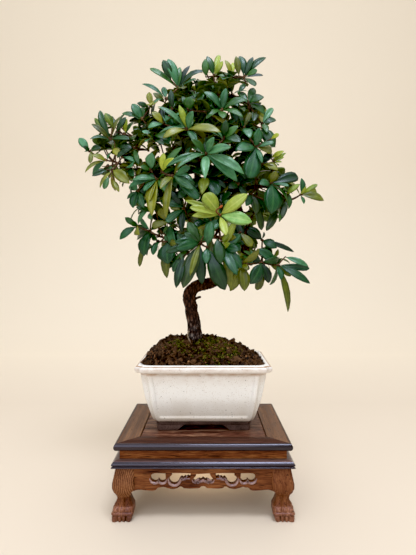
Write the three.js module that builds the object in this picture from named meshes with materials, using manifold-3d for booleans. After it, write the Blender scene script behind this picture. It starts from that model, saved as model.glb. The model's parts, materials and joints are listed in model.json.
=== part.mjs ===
// Scarlet firethorn bonsai in a glazed pot on a carved wooden stand.
// Sizes are in millimetres. The origin is on the floor under the middle of the stand,
// with +X to the right, +Y away from the viewer and +Z up.

import * as THREE from 'three';
import { mergeVertices } from 'three/addons/utils/BufferGeometryUtils.js';
import Module from 'manifold-3d';

const wasm = await Module();
wasm.setup();

// Driving dimensions of the stand
const STAND_HEIGHT = 112;
const SLAB_WIDTH = 260;
const SLAB_DEPTH = 220;
const SLAB_THICKNESS = 11;
const SLAB_BEAD = 5.5;
const RAIL_WIDTH = 34;
const LEDGE_WIDTH = 4;
const LEDGE_HEIGHT = 3.2;
const PANEL_DROP = 1.2;
const PANEL_CHAMFER = 1.4;
const WAIST_HEIGHT = 12.3;
const WAIST_INSET = 7.8;
const WAIST_THICKNESS = 9;
const MOULDING_WIDTH = 266;
const MOULDING_DEPTH = 226;
const MOULDING_HEIGHT = 11.2;
const MOULDING_REACH = 30;
const APRON_THICKNESS = 9;
const APRON_INSET = 5.5;
const LEG_BLOCK = 34;
const JOINT_GAP = 0.2;

// Driving dimensions of the pot and its soil
const POT_RIM_HALF_WIDTH = 105;
const POT_RIM_TOP = 218;
const POT_SIDE_DIFFERENCE = 25;
const POT_FLOOR_TOP = 134;
const CLAY_TOP = 126.6;
const CLAY_BOTTOM = 120.5;
const CLAY_HALF_WIDTH = 75;
const FOOT_LENGTH = 46;
const FOOT_SIDE_LENGTH = 31;
const FOOT_THICKNESS = 13;
const FOOT_TAPER = 12;
const DRAIN_RADIUS = 8;
const DRAIN_SIDES = 16;
const DRAIN_OFFSET = 38;
const MESH_SIDE = 25;
const MESH_THICKNESS = 1.2;
const SOIL_EDGE = 210.5;
const MOUND_HEIGHT = 46;
const MOUND_POWER = 3.2;
const SEAT_GAP = 0.3;
const SEAT_LEAST = 0.27;
const CUT_MARGIN = 2;

// Driving dimensions of the plant
const TRUNK_BASE = new THREE.Vector3(-14, -15, 206);
const TRUNK_HOLE_RADIUS = 16;
const TRUNK_HOLE_SIDES = 12;
const COLLAR_RADII = [14, 12.6];
const COLLAR_SIDES = 10;
const CUT_TWIG_RADII = [2.2, 1.4];
const CUT_TWIG_SIDES = 6;
const LEAF_LENGTH = 40;
const LEAF_WIDTH = 14;
const LEAF_THICKNESS = 1.4;
const LEAF_ROOT_THICKNESS = 1.1;
const LEAF_CLEARANCE = 0.3;
const LEAF_TRIES = 12;
const OUTER_START = 0.25;
const HUB_RADIUS = 3.2;
const HUB_SIDES = 4;
const HUB_BELOW = 6;
const HUB_ABOVE = 2.6;
const ROOT_RADIUS = 1.5;
const ROOT_TOP = 0.8;
const ROOT_BOTTOM = -2.2;
const TWIG_RADII = [1.5, 1.5];
const TWIG_SIDES = 4;
const CROWN_CORE = new THREE.Vector3(10, 0, 470);
const CROWN_RISE = 0.35;
const GOLDEN_ANGLE = 2.39996;
const FULL_TURN = 2 * Math.PI;
const BACK_FROM = 25;
const FRONT_LEAN = -0.5;
const BACK_LEAN = 0.3;

// The reference view, from which the crown's places are read. Columns and rows are
// counted in a view of 416 by 555 points, and depth is millimetres behind the trunk.
const EYE = new THREE.Vector3(7, -796, 357.6);
const EYE_COLUMN = 208;
const EYE_ROW = 274.2;
const FOCAL_POINTS = 475.2;

function seen([column, row, depth]) {
  const reach = (depth - EYE.y) / FOCAL_POINTS;
  return new THREE.Vector3(
    EYE.x + (column - EYE_COLUMN) * reach,
    depth,
    EYE.z - (row - EYE_ROW) * reach,
  );
}

// Materials
function material(color, roughness, metalness = 0) {
  return new THREE.MeshStandardMaterial({ color, roughness, metalness });
}

const FRAME_WOOD = material(0x4a2f22, 0.45);
const PANEL_WOOD = material(0x5f3a27, 0.5);
const CARVED_WOOD = material(0x6a3c22, 0.5);
const GLAZE = material(0xe6e2da, 0.25);
const DRAIN_MESH = material(0x2f3a34, 0.7);
const SOIL = material(0x33241a, 0.95);
const BARK = material(0x2c211b, 0.85);
const LEAF = material(0x1f4a2c, 0.45);
const YOUNG_LEAF = material(0x86a84a, 0.5);

// Solids and meshes
function solidOf(geometry) {
  const bare = geometry.clone();
  bare.deleteAttribute('normal');
  bare.deleteAttribute('uv');
  const merged = mergeVertices(bare, 1e-4);
  const vertProperties = new Float32Array(merged.attributes.position.array);
  const triVerts = new Uint32Array(merged.index.array);
  return new wasm.Manifold(new wasm.Mesh({ numProp: 3, vertProperties, triVerts }));
}

function geometryOf(solid) {
  const { vertProperties, triVerts } = solid.getMesh();
  const geometry = new THREE.BufferGeometry();
  geometry.setAttribute('position', new THREE.BufferAttribute(vertProperties, 3));
  geometry.setIndex(new THREE.BufferAttribute(triVerts, 1));
  geometry.computeVertexNormals();
  return geometry;
}

function joined(solids) {
  return solids.reduce((sum, solid) => sum.add(solid));
}

// A closed skin over rings of equal length, each end closed by a fan round its middle.
function loft(rings) {
  const count = rings[0].length;
  const positions = [];
  const index = [];
  rings.flat().forEach((point) => positions.push(point.x, point.y, point.z));
  for (let ring = 0; ring + 1 < rings.length; ring += 1) {
    for (let side = 0; side < count; side += 1) {
      const a = ring * count + side;
      const b = ring * count + ((side + 1) % count);
      index.push(a, b, b + count, a, b + count, a + count);
    }
  }
  [[0, true], [rings.length - 1, false]].forEach(([ring, isFirst]) => {
    const middle = new THREE.Vector3();
    rings[ring].forEach((point) => middle.addScaledVector(point, 1 / count));
    const centre = positions.length / 3;
    positions.push(middle.x, middle.y, middle.z);
    for (let side = 0; side < count; side += 1) {
      const a = ring * count + side;
      const b = ring * count + ((side + 1) % count);
      index.push(centre, isFirst ? b : a, isFirst ? a : b);
    }
  });
  const geometry = new THREE.BufferGeometry();
  geometry.setAttribute('position', new THREE.Float32BufferAttribute(positions, 3));
  geometry.setIndex(index);
  geometry.computeVertexNormals();
  return geometry;
}

const model = new THREE.Group();

function place(name, geometry, finish) {
  const mesh = new THREE.Mesh(geometry, finish);
  mesh.name = name;
  model.add(mesh);
  return mesh;
}

// The stand
const SIDES = [
  { name: 'front', turn: 0, along: 'width' },
  { name: 'right', turn: 1, along: 'depth' },
  { name: 'back', turn: 2, along: 'width' },
  { name: 'left', turn: 3, along: 'depth' },
];

// A straight member of a frame with both ends mitred. The profile lists its inset from
// the frame's outer edge and its height, and the member lies along the front edge.
function mitredMember(width, depth, profile) {
  const end = (sign) => profile.map(([inset, height]) => new THREE.Vector3(
    sign * (width / 2 - inset - JOINT_GAP),
    -(depth / 2 - inset),
    height,
  ));
  return loft([end(1), end(-1)]);
}

function placeFrame(prefix, width, depth, base, profile, finish) {
  SIDES.forEach(({ name, turn, along }) => {
    const [length, reach] = along === 'width' ? [width, depth] : [depth, width];
    const mesh = place(`${prefix}_${name}`, mitredMember(length, reach, profile), finish);
    mesh.rotation.z = (turn * Math.PI) / 2;
    mesh.position.z = base;
  });
}

function arc(centre, radius, from, to, steps) {
  const points = [];
  for (let step = 0; step <= steps; step += 1) {
    const angle = THREE.MathUtils.degToRad(from + ((to - from) * step) / steps);
    points.push([centre[0] + radius * Math.cos(angle), centre[1] + radius * Math.sin(angle)]);
  }
  return points;
}

const SLAB_BASE = STAND_HEIGHT - SLAB_THICKNESS;
const WAIST_BASE = SLAB_BASE - JOINT_GAP - WAIST_HEIGHT;
const MOULDING_BASE = WAIST_BASE - JOINT_GAP - MOULDING_HEIGHT;
const APRON_TOP = MOULDING_BASE - JOINT_GAP;

function buildTop() {
  const bead = arc([SLAB_BEAD, SLAB_THICKNESS / 2], SLAB_BEAD, 270, 90, 6);
  const profile = [
    ...bead,
    [RAIL_WIDTH, SLAB_THICKNESS],
    [RAIL_WIDTH, LEDGE_HEIGHT],
    [RAIL_WIDTH + LEDGE_WIDTH, LEDGE_HEIGHT],
    [RAIL_WIDTH + LEDGE_WIDTH, 0],
  ];
  placeFrame('top_rail', SLAB_WIDTH, SLAB_DEPTH, SLAB_BASE, profile, FRAME_WOOD);

  const halfWidth = SLAB_WIDTH / 2 - RAIL_WIDTH - SEAT_GAP;
  const halfDepth = SLAB_DEPTH / 2 - RAIL_WIDTH - SEAT_GAP;
  const top = STAND_HEIGHT - PANEL_DROP;
  const bottom = SLAB_BASE + LEDGE_HEIGHT + SEAT_GAP;
  const ring = (inset, height) => [[1, 1], [-1, 1], [-1, -1], [1, -1]].map(
    ([x, y]) => new THREE.Vector3(x * (halfWidth - inset), y * (halfDepth - inset), height),
  );
  const rings = [ring(0, bottom), ring(0, top - PANEL_CHAMFER), ring(PANEL_CHAMFER, top)];
  place('top_panel', loft(rings), PANEL_WOOD);
}

function buildWaist() {
  const profile = [
    [0, 0],
    [0, WAIST_HEIGHT],
    [WAIST_THICKNESS, WAIST_HEIGHT],
    [WAIST_THICKNESS, 0],
  ];
  const width = SLAB_WIDTH - 2 * WAIST_INSET;
  const depth = SLAB_DEPTH - 2 * WAIST_INSET;
  placeFrame('waist_board', width, depth, WAIST_BASE, profile, CARVED_WOOD);
}

function buildMoulding() {
  const profile = [
    [1.2, 0],
    [0.2, 0.5],
    [0, 1.2],
    [0.3, 2],
    [1.2, 2.5],
    [2.2, 3],
    [2.2, 3.7],
    [0.9, 4.1],
    [0.2, 5.4],
    [0.9, 6.8],
    [11.2, MOULDING_HEIGHT],
    [MOULDING_REACH, MOULDING_HEIGHT],
    [MOULDING_REACH, 0],
  ];
  placeFrame('moulding', MOULDING_WIDTH, MOULDING_DEPTH, MOULDING_BASE, profile, FRAME_WOOD);
}

// The apron's lower edge from the leg to the middle, as distance from the middle and height
const APRON_EDGE = [
  [101, 43], [94, 45], [82.4, 44], [69, 44.2], [63, 48.3], [57.2, 49], [48.5, 46.9],
  [41.7, 46.4], [31, 49.3], [26.2, 46.9], [11.6, 46.9], [4.8, 47.3], [0, 50.2],
];

// The pierced scrolls of one half, as distance from the middle and height. The one in
// the middle is given to its half and mirrored.
const SCROLL_END = [
  [54.6, 68.6], [69.5, 68.9], [75.2, 65.6], [75.2, 59.6], [70, 56], [64.4, 59.4],
  [58.5, 55.9], [55.2, 60],
];
const SCROLL_LONG = [
  [18.4, 68.8], [46, 69], [46.6, 65.4], [49, 61.6], [46.8, 54.6], [40.6, 52.9],
  [36, 56], [31.4, 62.4], [27.8, 60.4], [24.8, 63], [20.6, 62],
];
const SCROLL_MIDDLE_HALF = [
  [9.8, 68.7], [11, 64.6], [14.2, 61], [12.4, 56.2], [7.6, 56.4], [3.6, 58.6], [0, 61.2],
];

function mirrored(points) {
  return points.map(([x, z]) => [-x, z]).reverse();
}

function pathOf(points) {
  return points.map(([x, z]) => new THREE.Vector2(x, z));
}

function apronBoard(halfWidth) {
  const stretch = halfWidth / (MOULDING_WIDTH / 2 - LEG_BLOCK);
  const fit = (points) => points.map(([x, z]) => [x * stretch, z]);
  const left = fit(APRON_EDGE);
  left[0] = [halfWidth - JOINT_GAP, APRON_EDGE[0][1]];
  const edge = [...left, ...mirrored(left).slice(1)];
  const top = APRON_TOP;
  const shape = new THREE.Shape(pathOf([
    ...edge.reverse(),
    [halfWidth - JOINT_GAP, top],
    [-halfWidth + JOINT_GAP, top],
  ]));
  const middle = [...SCROLL_MIDDLE_HALF, ...mirrored(SCROLL_MIDDLE_HALF).slice(1)];
  [SCROLL_END, SCROLL_LONG, mirrored(SCROLL_END), mirrored(SCROLL_LONG), middle].forEach(
    (hole) => shape.holes.push(new THREE.Path(pathOf(fit(hole)))),
  );
  return new THREE.ExtrudeGeometry(shape, { depth: APRON_THICKNESS, bevelEnabled: false });
}

function buildAprons() {
  SIDES.forEach(({ name, turn, along }) => {
    const width = along === 'width' ? MOULDING_WIDTH : MOULDING_DEPTH;
    const depth = along === 'width' ? MOULDING_DEPTH : MOULDING_WIDTH;
    const geometry = apronBoard(width / 2 - LEG_BLOCK);
    geometry.rotateX(Math.PI / 2);
    geometry.translate(0, APRON_THICKNESS - depth / 2 + APRON_INSET, 0);
    const mesh = place(`apron_${name}`, geometry, CARVED_WOOD);
    mesh.rotation.z = (turn * Math.PI) / 2;
  });
}

// A leg's outline, as inset from the moulding's edge and height: the outer curve from
// the floor up, then the inner curve back down
const LEG_OUTLINE = [
  [3.4, 0], [0.8, 5], [0.5, 11], [2.6, 17], [5.2, 23], [6.4, 30], [4.4, 36], [1.4, 41],
  [0.3, 47], [0.8, 54], [3.2, 65], [5.4, APRON_TOP], [LEG_BLOCK - JOINT_GAP, APRON_TOP],
  [LEG_BLOCK - JOINT_GAP, 44], [29.6, 41], [26.6, 34], [29, 27], [32.4, 20], [31.6, 9], [27, 0],
];
const LEG_REACH = LEG_BLOCK + 6;
const TOE_GROOVE_START = 3;
const TOE_GROOVE_DEPTH = 2.8;
const TOE_GROOVE_WIDTH = 1.6;
const TOE_GROOVE_TOP = 16;
const TOE_GROOVES = [8, 14.5, 21];

// The same shape with its width and depth changed over
function swapped(solid) {
  return solid.mirror([1, -1, 0]);
}

function legSide() {
  const shape = new THREE.Shape(pathOf(LEG_OUTLINE));
  const geometry = new THREE.ExtrudeGeometry(shape, { depth: LEG_REACH, bevelEnabled: false });
  geometry.rotateX(Math.PI / 2);
  geometry.translate(0, LEG_REACH, 0);
  return solidOf(geometry);
}

function toeGroove(middle) {
  const half = TOE_GROOVE_WIDTH / 2;
  const shape = new THREE.Shape(pathOf([
    [middle - half, -TOE_GROOVE_START],
    [middle + half, -TOE_GROOVE_START],
    [middle, TOE_GROOVE_DEPTH],
  ]));
  const geometry = new THREE.ExtrudeGeometry(shape, { depth: TOE_GROOVE_TOP, bevelEnabled: false });
  geometry.translate(0, 0, -1);
  return solidOf(geometry);
}

function cornerLeg() {
  const front = legSide();
  const grooves = TOE_GROOVES.map(toeGroove);
  return [...grooves, ...grooves.map(swapped)].reduce(
    (leg, groove) => leg.subtract(groove),
    front.intersect(swapped(front)),
  );
}

function buildLegs() {
  const corners = [
    { name: 'front_left', x: -1, y: -1 },
    { name: 'front_right', x: 1, y: -1 },
    { name: 'back_left', x: -1, y: 1 },
    { name: 'back_right', x: 1, y: 1 },
  ];
  const leg = cornerLeg();
  corners.forEach(({ name, x, y }) => {
    const turned = leg.scale([-x, -y, 1]);
    const moved = turned.translate([(x * MOULDING_WIDTH) / 2, (y * MOULDING_DEPTH) / 2, 0]);
    place(`leg_${name}`, geometryOf(moved), CARVED_WOOD);
  });
}

// The pot's outer wall, as height and half width; its half depth is less by a fixed step
const POT_OUTER = [
  [CLAY_TOP, CLAY_HALF_WIDTH], [127.6, 77.5], [131.4, 80.6], [138.5, 83.4], [148, 86.4],
  [165, 91.6], [186, 94.8], [203.6, 97.2], [206.6, 102.6], [211, POT_RIM_HALF_WIDTH],
];
const POT_INNER = [[POT_FLOOR_TOP, 73], [148, 79], [186, 87.5], [214, 97]];
const POT_LIP_INSET = 2;
const POT_LIP_WIDTH = 8;
const POT_LIP_ROUNDING = 0.6;

function innerHalfWidth(height) {
  const above = POT_INNER.findIndex(([level]) => level > height);
  const [lowLevel, lowWidth] = POT_INNER[above - 1];
  const [highLevel, highWidth] = POT_INNER[above];
  return THREE.MathUtils.mapLinear(height, lowLevel, highLevel, lowWidth, highWidth);
}

// A corner of the pot's plan, counted back from where its two sides would meet: each side
// ends in a rounded rib, with an indent between the ribs. The corner is full from one height
// up and shrinks to a part of that at a lower height.
const POT_CORNER = [[0, -14], [-1.2, -10], [-7.6, -7.6], [-10, -1.2], [-14, 0]];
const POT_CORNER_LEVELS = [130, 185];
const POT_CORNER_LEAST = 0.45;

// One level of the pot, a rectangle with indented corners
function potRing(halfWidth, height) {
  const halfDepth = halfWidth - POT_SIDE_DIFFERENCE;
  const rise = THREE.MathUtils.inverseLerp(...POT_CORNER_LEVELS, height);
  const part = THREE.MathUtils.lerp(POT_CORNER_LEAST, 1, THREE.MathUtils.clamp(rise, 0, 1));
  const quarter = POT_CORNER.map(([x, y]) => [halfWidth + part * x, halfDepth + part * y]);
  const flip = (points, x, y) => points.map(([a, b]) => [a * x, b * y]);
  return [
    ...quarter,
    ...flip(quarter, -1, 1).reverse(),
    ...flip(quarter, -1, -1),
    ...flip(quarter, 1, -1).reverse(),
  ].map(([x, y]) => new THREE.Vector3(x, y, height));
}

// An upright cylinder to cut with, which runs a little past both levels
function cutter(radius, bottom, top, x, y, sides) {
  const height = top - bottom + 2 * CUT_MARGIN;
  const geometry = new THREE.CylinderGeometry(radius, radius, height, sides);
  geometry.rotateX(Math.PI / 2);
  geometry.translate(x, y, (top + bottom) / 2);
  return solidOf(geometry);
}

const STAND_TOP = STAND_HEIGHT - PANEL_DROP;
const FOOT_BOTTOM = STAND_TOP + SEAT_GAP;

const FOOT_INSET = 0.6;
const FOOT_ROOT = 2;

// A corner foot: two short tapered walls that meet under the corner of the clay base
function potFoot(x, y) {
  const halfDepth = CLAY_HALF_WIDTH - POT_SIDE_DIFFERENCE;
  const wall = (length, isAlongX) => {
    const ring = (height, taper) => {
      const inner = length - taper;
      const outline = [
        [FOOT_INSET, FOOT_INSET],
        [inner, FOOT_INSET],
        [inner, FOOT_THICKNESS],
        [FOOT_INSET, FOOT_THICKNESS],
      ];
      return outline.map(([a, b]) => {
        const [inX, inY] = isAlongX ? [a, b] : [b, a];
        return new THREE.Vector3(x * (CLAY_HALF_WIDTH - inX), y * (halfDepth - inY), height);
      });
    };
    const rings = [ring(FOOT_BOTTOM, FOOT_TAPER), ring(CLAY_BOTTOM + FOOT_ROOT, 0)];
    const isMirrored = (x * y > 0) !== isAlongX;
    return solidOf(loft(isMirrored ? rings.map((points) => points.reverse()) : rings));
  };
  return wall(FOOT_LENGTH, true).add(wall(FOOT_SIDE_LENGTH, false));
}

function buildPot() {
  const outer = POT_OUTER.map(([height, halfWidth]) => potRing(halfWidth, height));
  const lipOuter = POT_RIM_HALF_WIDTH - POT_LIP_INSET;
  const lipInner = POT_RIM_HALF_WIDTH - POT_LIP_WIDTH;
  const shell = loft([
    potRing(CLAY_HALF_WIDTH, CLAY_BOTTOM),
    ...outer,
    potRing(lipOuter, POT_RIM_TOP - POT_LIP_ROUNDING),
    potRing(lipInner + POT_LIP_ROUNDING, POT_RIM_TOP),
  ]);
  const hollow = loft([
    ...POT_INNER.map(([height, halfWidth]) => potRing(halfWidth, height)),
    potRing(lipInner, POT_RIM_TOP + CUT_MARGIN),
  ]);
  let pot = solidOf(shell).subtract(solidOf(hollow));
  [-1, 1].forEach((side) => {
    const x = side * DRAIN_OFFSET;
    pot = pot.subtract(cutter(DRAIN_RADIUS, CLAY_BOTTOM, POT_FLOOR_TOP, x, 0, DRAIN_SIDES));
    pot = pot.add(potFoot(side, 1)).add(potFoot(side, -1));
  });
  place('pot', geometryOf(pot), GLAZE);
}

// Plastic mesh squares over the drain holes, with a grid of square openings
const MESH_CELLS = 2;
const MESH_BAR = 1.8;

function box(width, depth, height, x, y, z) {
  const geometry = new THREE.BoxGeometry(width, depth, height);
  geometry.translate(x, y, z);
  return solidOf(geometry);
}

function drainMesh() {
  const pitch = (MESH_SIDE - MESH_BAR) / MESH_CELLS;
  const opening = pitch - MESH_BAR;
  const middle = (MESH_CELLS - 1) / 2;
  let mesh = box(MESH_SIDE, MESH_SIDE, MESH_THICKNESS, 0, 0, MESH_THICKNESS / 2);
  for (let column = 0; column < MESH_CELLS; column += 1) {
    for (let row = 0; row < MESH_CELLS; row += 1) {
      const x = (column - middle) * pitch;
      const y = (row - middle) * pitch;
      mesh = mesh.subtract(box(opening, opening, 4 * MESH_THICKNESS, x, y, 0));
    }
  }
  return geometryOf(mesh);
}

function buildDrainMeshes() {
  [['left', -1], ['right', 1]].forEach(([name, side]) => {
    const mesh = place(`drain_mesh_${name}`, drainMesh(), DRAIN_MESH);
    mesh.position.set(side * DRAIN_OFFSET, 0, POT_FLOOR_TOP + SEAT_GAP);
  });
}

// Repeatable draws between 0 and 1
function draw(seed, count = 1) {
  let state = seed >>> 0;
  for (let step = 0; step < count + 2; step += 1) {
    state = (Math.imul(1664525, state) + 1013904223) >>> 0;
  }
  return state / 4294967296;
}

// The soil's surface: a mound that is higher at the back, with a hollow round the trunk
const MOUND_TILT = 0.1;
const HOLLOW_DEPTH = 7;
const HOLLOW_REACH = 26;
const MOUND_ROUGHNESS = 2.4;
const MOUND_SHARES = [0.94, 0.82, 0.64, 0.42, 0.22];
const SEED_STRIDE = 97;

function moundHeight(share, x, y, seed) {
  const distance = Math.hypot(x - TRUNK_BASE.x, y - TRUNK_BASE.y);
  const hollow = HOLLOW_DEPTH * Math.exp(-((distance / HOLLOW_REACH) ** 2));
  const rise = MOUND_HEIGHT * (1 - share ** MOUND_POWER);
  const bump = share < 1 ? MOUND_ROUGHNESS * (draw(seed) - 0.5) : 0;
  return SOIL_EDGE + rise + (MOUND_TILT * y - hollow) * (1 - share) + bump;
}

function buildSoil() {
  const wallRing = (height) => potRing(innerHalfWidth(height) - SEAT_GAP, height);
  const levels = [POT_FLOOR_TOP + SEAT_GAP, ...POT_INNER.slice(1, -1).map(([height]) => height)];
  const edge = wallRing(SOIL_EDGE);
  const centre = new THREE.Vector3(TRUNK_BASE.x, TRUNK_BASE.y, 0);
  const mound = MOUND_SHARES.map((share, level) => edge.map((point, side) => {
    const x = centre.x + (point.x - centre.x) * share;
    const y = centre.y + (point.y - centre.y) * share;
    return new THREE.Vector3(x, y, moundHeight(share, x, y, SEED_STRIDE * level + side));
  }));
  let soil = solidOf(loft([...levels.map(wallRing), edge, ...mound]));
  const hole = cutter(
    TRUNK_HOLE_RADIUS + SEAT_GAP,
    TRUNK_BASE.z - SEAT_GAP + CUT_MARGIN,
    SOIL_EDGE + 2 * MOUND_HEIGHT,
    TRUNK_BASE.x,
    TRUNK_BASE.y,
    TRUNK_HOLE_SIDES,
  );
  soil = soil.subtract(hole);
  [-1, 1].forEach((side) => {
    const width = MESH_SIDE + 2 * SEAT_GAP;
    const height = 2 * (MESH_THICKNESS + 2 * SEAT_GAP);
    soil = soil.subtract(box(width, width, height, side * DRAIN_OFFSET, 0, POT_FLOOR_TOP));
  });
  place('soil', geometryOf(soil), SOIL);
}

// The value at a place along a list, between two of its entries
function valueAlong(values, at) {
  const low = Math.min(Math.floor(at), values.length - 2);
  return THREE.MathUtils.lerp(values[low], values[low + 1], at - low);
}

// A limb with a round section that changes along a smooth line through its points
function taperedLimb(points, radii, sides, steps) {
  const curve = new THREE.CatmullRomCurve3(points, false, 'centripetal');
  const frames = curve.computeFrenetFrames(steps, false);
  const rings = [];
  for (let step = 0; step <= steps; step += 1) {
    const share = step / steps;
    const centre = curve.getPointAt(share);
    const radius = valueAlong(radii, share * (radii.length - 1));
    const ring = [];
    for (let side = 0; side < sides; side += 1) {
      const angle = (2 * Math.PI * side) / sides;
      const point = centre.clone();
      point.addScaledVector(frames.normals[step], radius * Math.cos(angle));
      point.addScaledVector(frames.binormals[step], radius * Math.sin(angle));
      ring.push(point);
    }
    rings.push(ring);
  }
  return solidOf(loft(rings));
}

// A straight stick between two points
function stick(from, to, [startRadius, endRadius], sides) {
  const length = from.distanceTo(to);
  const geometry = new THREE.CylinderGeometry(endRadius, startRadius, length, sides);
  geometry.translate(0, length / 2, 0);
  const along = to.clone().sub(from).normalize();
  const turn = new THREE.Quaternion().setFromUnitVectors(new THREE.Vector3(0, 1, 0), along);
  geometry.applyQuaternion(turn);
  geometry.translate(from.x, from.y, from.z);
  return solidOf(geometry);
}

// The trunk and branches as places in the reference view, thickest end first
const LIMBS = {
  trunk: {
    places: [
      [195, 343, -15], [193.5, 318, -14], [190, 301, -12], [189.5, 290, -10], [197, 284, -8],
      [208, 283, -6], [220, 280.5, -4], [232, 276, -2], [243, 259, 0], [245, 235, 2],
      [236, 200, 3], [228, 175, 2], [222, 140, 0], [218, 110, 0], [215, 88, -2],
    ],
    radii: [12.4, 12, 11.6, 11.2, 10.4, 9.4, 9, 8.4, 7.6, 6.8, 6, 5, 4, 3, 2],
    sides: 10,
    steps: 24,
  },
  left: {
    places: [[229, 176, 2], [205, 170, -10], [178, 174, -14], [150, 172, -12], [131, 168.8, -10],
      [113, 161, -10]],
    radii: [4.2, 3.6, 3, 2.6, 2.2, 1.8],
    sides: 6,
    steps: 9,
  },
  left_upper: {
    places: [[222, 141, 0], [200, 136, -4], [180, 136, -2], [160, 138.4, 0], [148.6, 137, -2],
      [138, 139, -2]],
    radii: [3.6, 3, 2.6, 2.2, 1.9, 1.7],
    sides: 5,
    steps: 7,
  },
  left_top: {
    places: [[218, 112, 0], [202, 104, -4], [186, 102, -4]],
    radii: [2.6, 2.2, 1.8],
    sides: 5,
    steps: 3,
  },
  right: {
    places: [[237, 203, 3], [247, 189, 0], [263, 186.4, -4], [275, 190, -6], [283, 196, -4],
      [292, 199.4, -2]],
    radii: [4, 3.2, 2.8, 2.4, 2, 1.7],
    sides: 6,
    steps: 8,
  },
  right_upper: {
    places: [[223, 144, 0], [238, 130, -8], [250, 122, -12]],
    radii: [2.8, 2.2, 1.8],
    sides: 5,
    steps: 3,
  },
  lower_left: {
    places: [[245, 243, 2], [222, 238, -22], [198, 236, -34], [176, 240, -26], [160, 236.5, -18]],
    radii: [4, 3.4, 2.8, 2.4, 1.8],
    sides: 6,
    steps: 8,
  },
  lower_right: {
    places: [[243, 262, 0], [252, 263, -4], [262, 262, -6], [270, 264.5, -5]],
    radii: [3.6, 3, 2.4, 1.8],
    sides: 5,
    steps: 4,
  },
  front_upper: {
    places: [[227, 170, 2], [216, 160, -30], [206, 157, -60]],
    radii: [4, 3.2, 2.2],
    sides: 6,
    steps: 4,
  },
  front_lower: {
    places: [[241, 218, 3], [232, 214, -30], [224, 220, -62], [215, 236, -84]],
    radii: [4.4, 3.6, 2.8, 2],
    sides: 6,
    steps: 6,
  },
  back_upper: {
    places: [[224, 152, 2], [214, 140, 36], [206, 136, 66]],
    radii: [3.4, 2.8, 2],
    sides: 5,
    steps: 4,
  },
  back_lower: {
    places: [[240, 214, 3], [226, 204, 40], [214, 200, 72]],
    radii: [3.8, 3, 2],
    sides: 5,
    steps: 4,
  },
};

const CUT_TWIG = [[192, 300, -12], [200.5, 296.5, -16]];

function limbPlace(name, at) {
  const { places } = LIMBS[name];
  const low = Math.min(Math.floor(at), places.length - 2);
  return seen(places[low]).lerp(seen(places[low + 1]), at - low);
}

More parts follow.
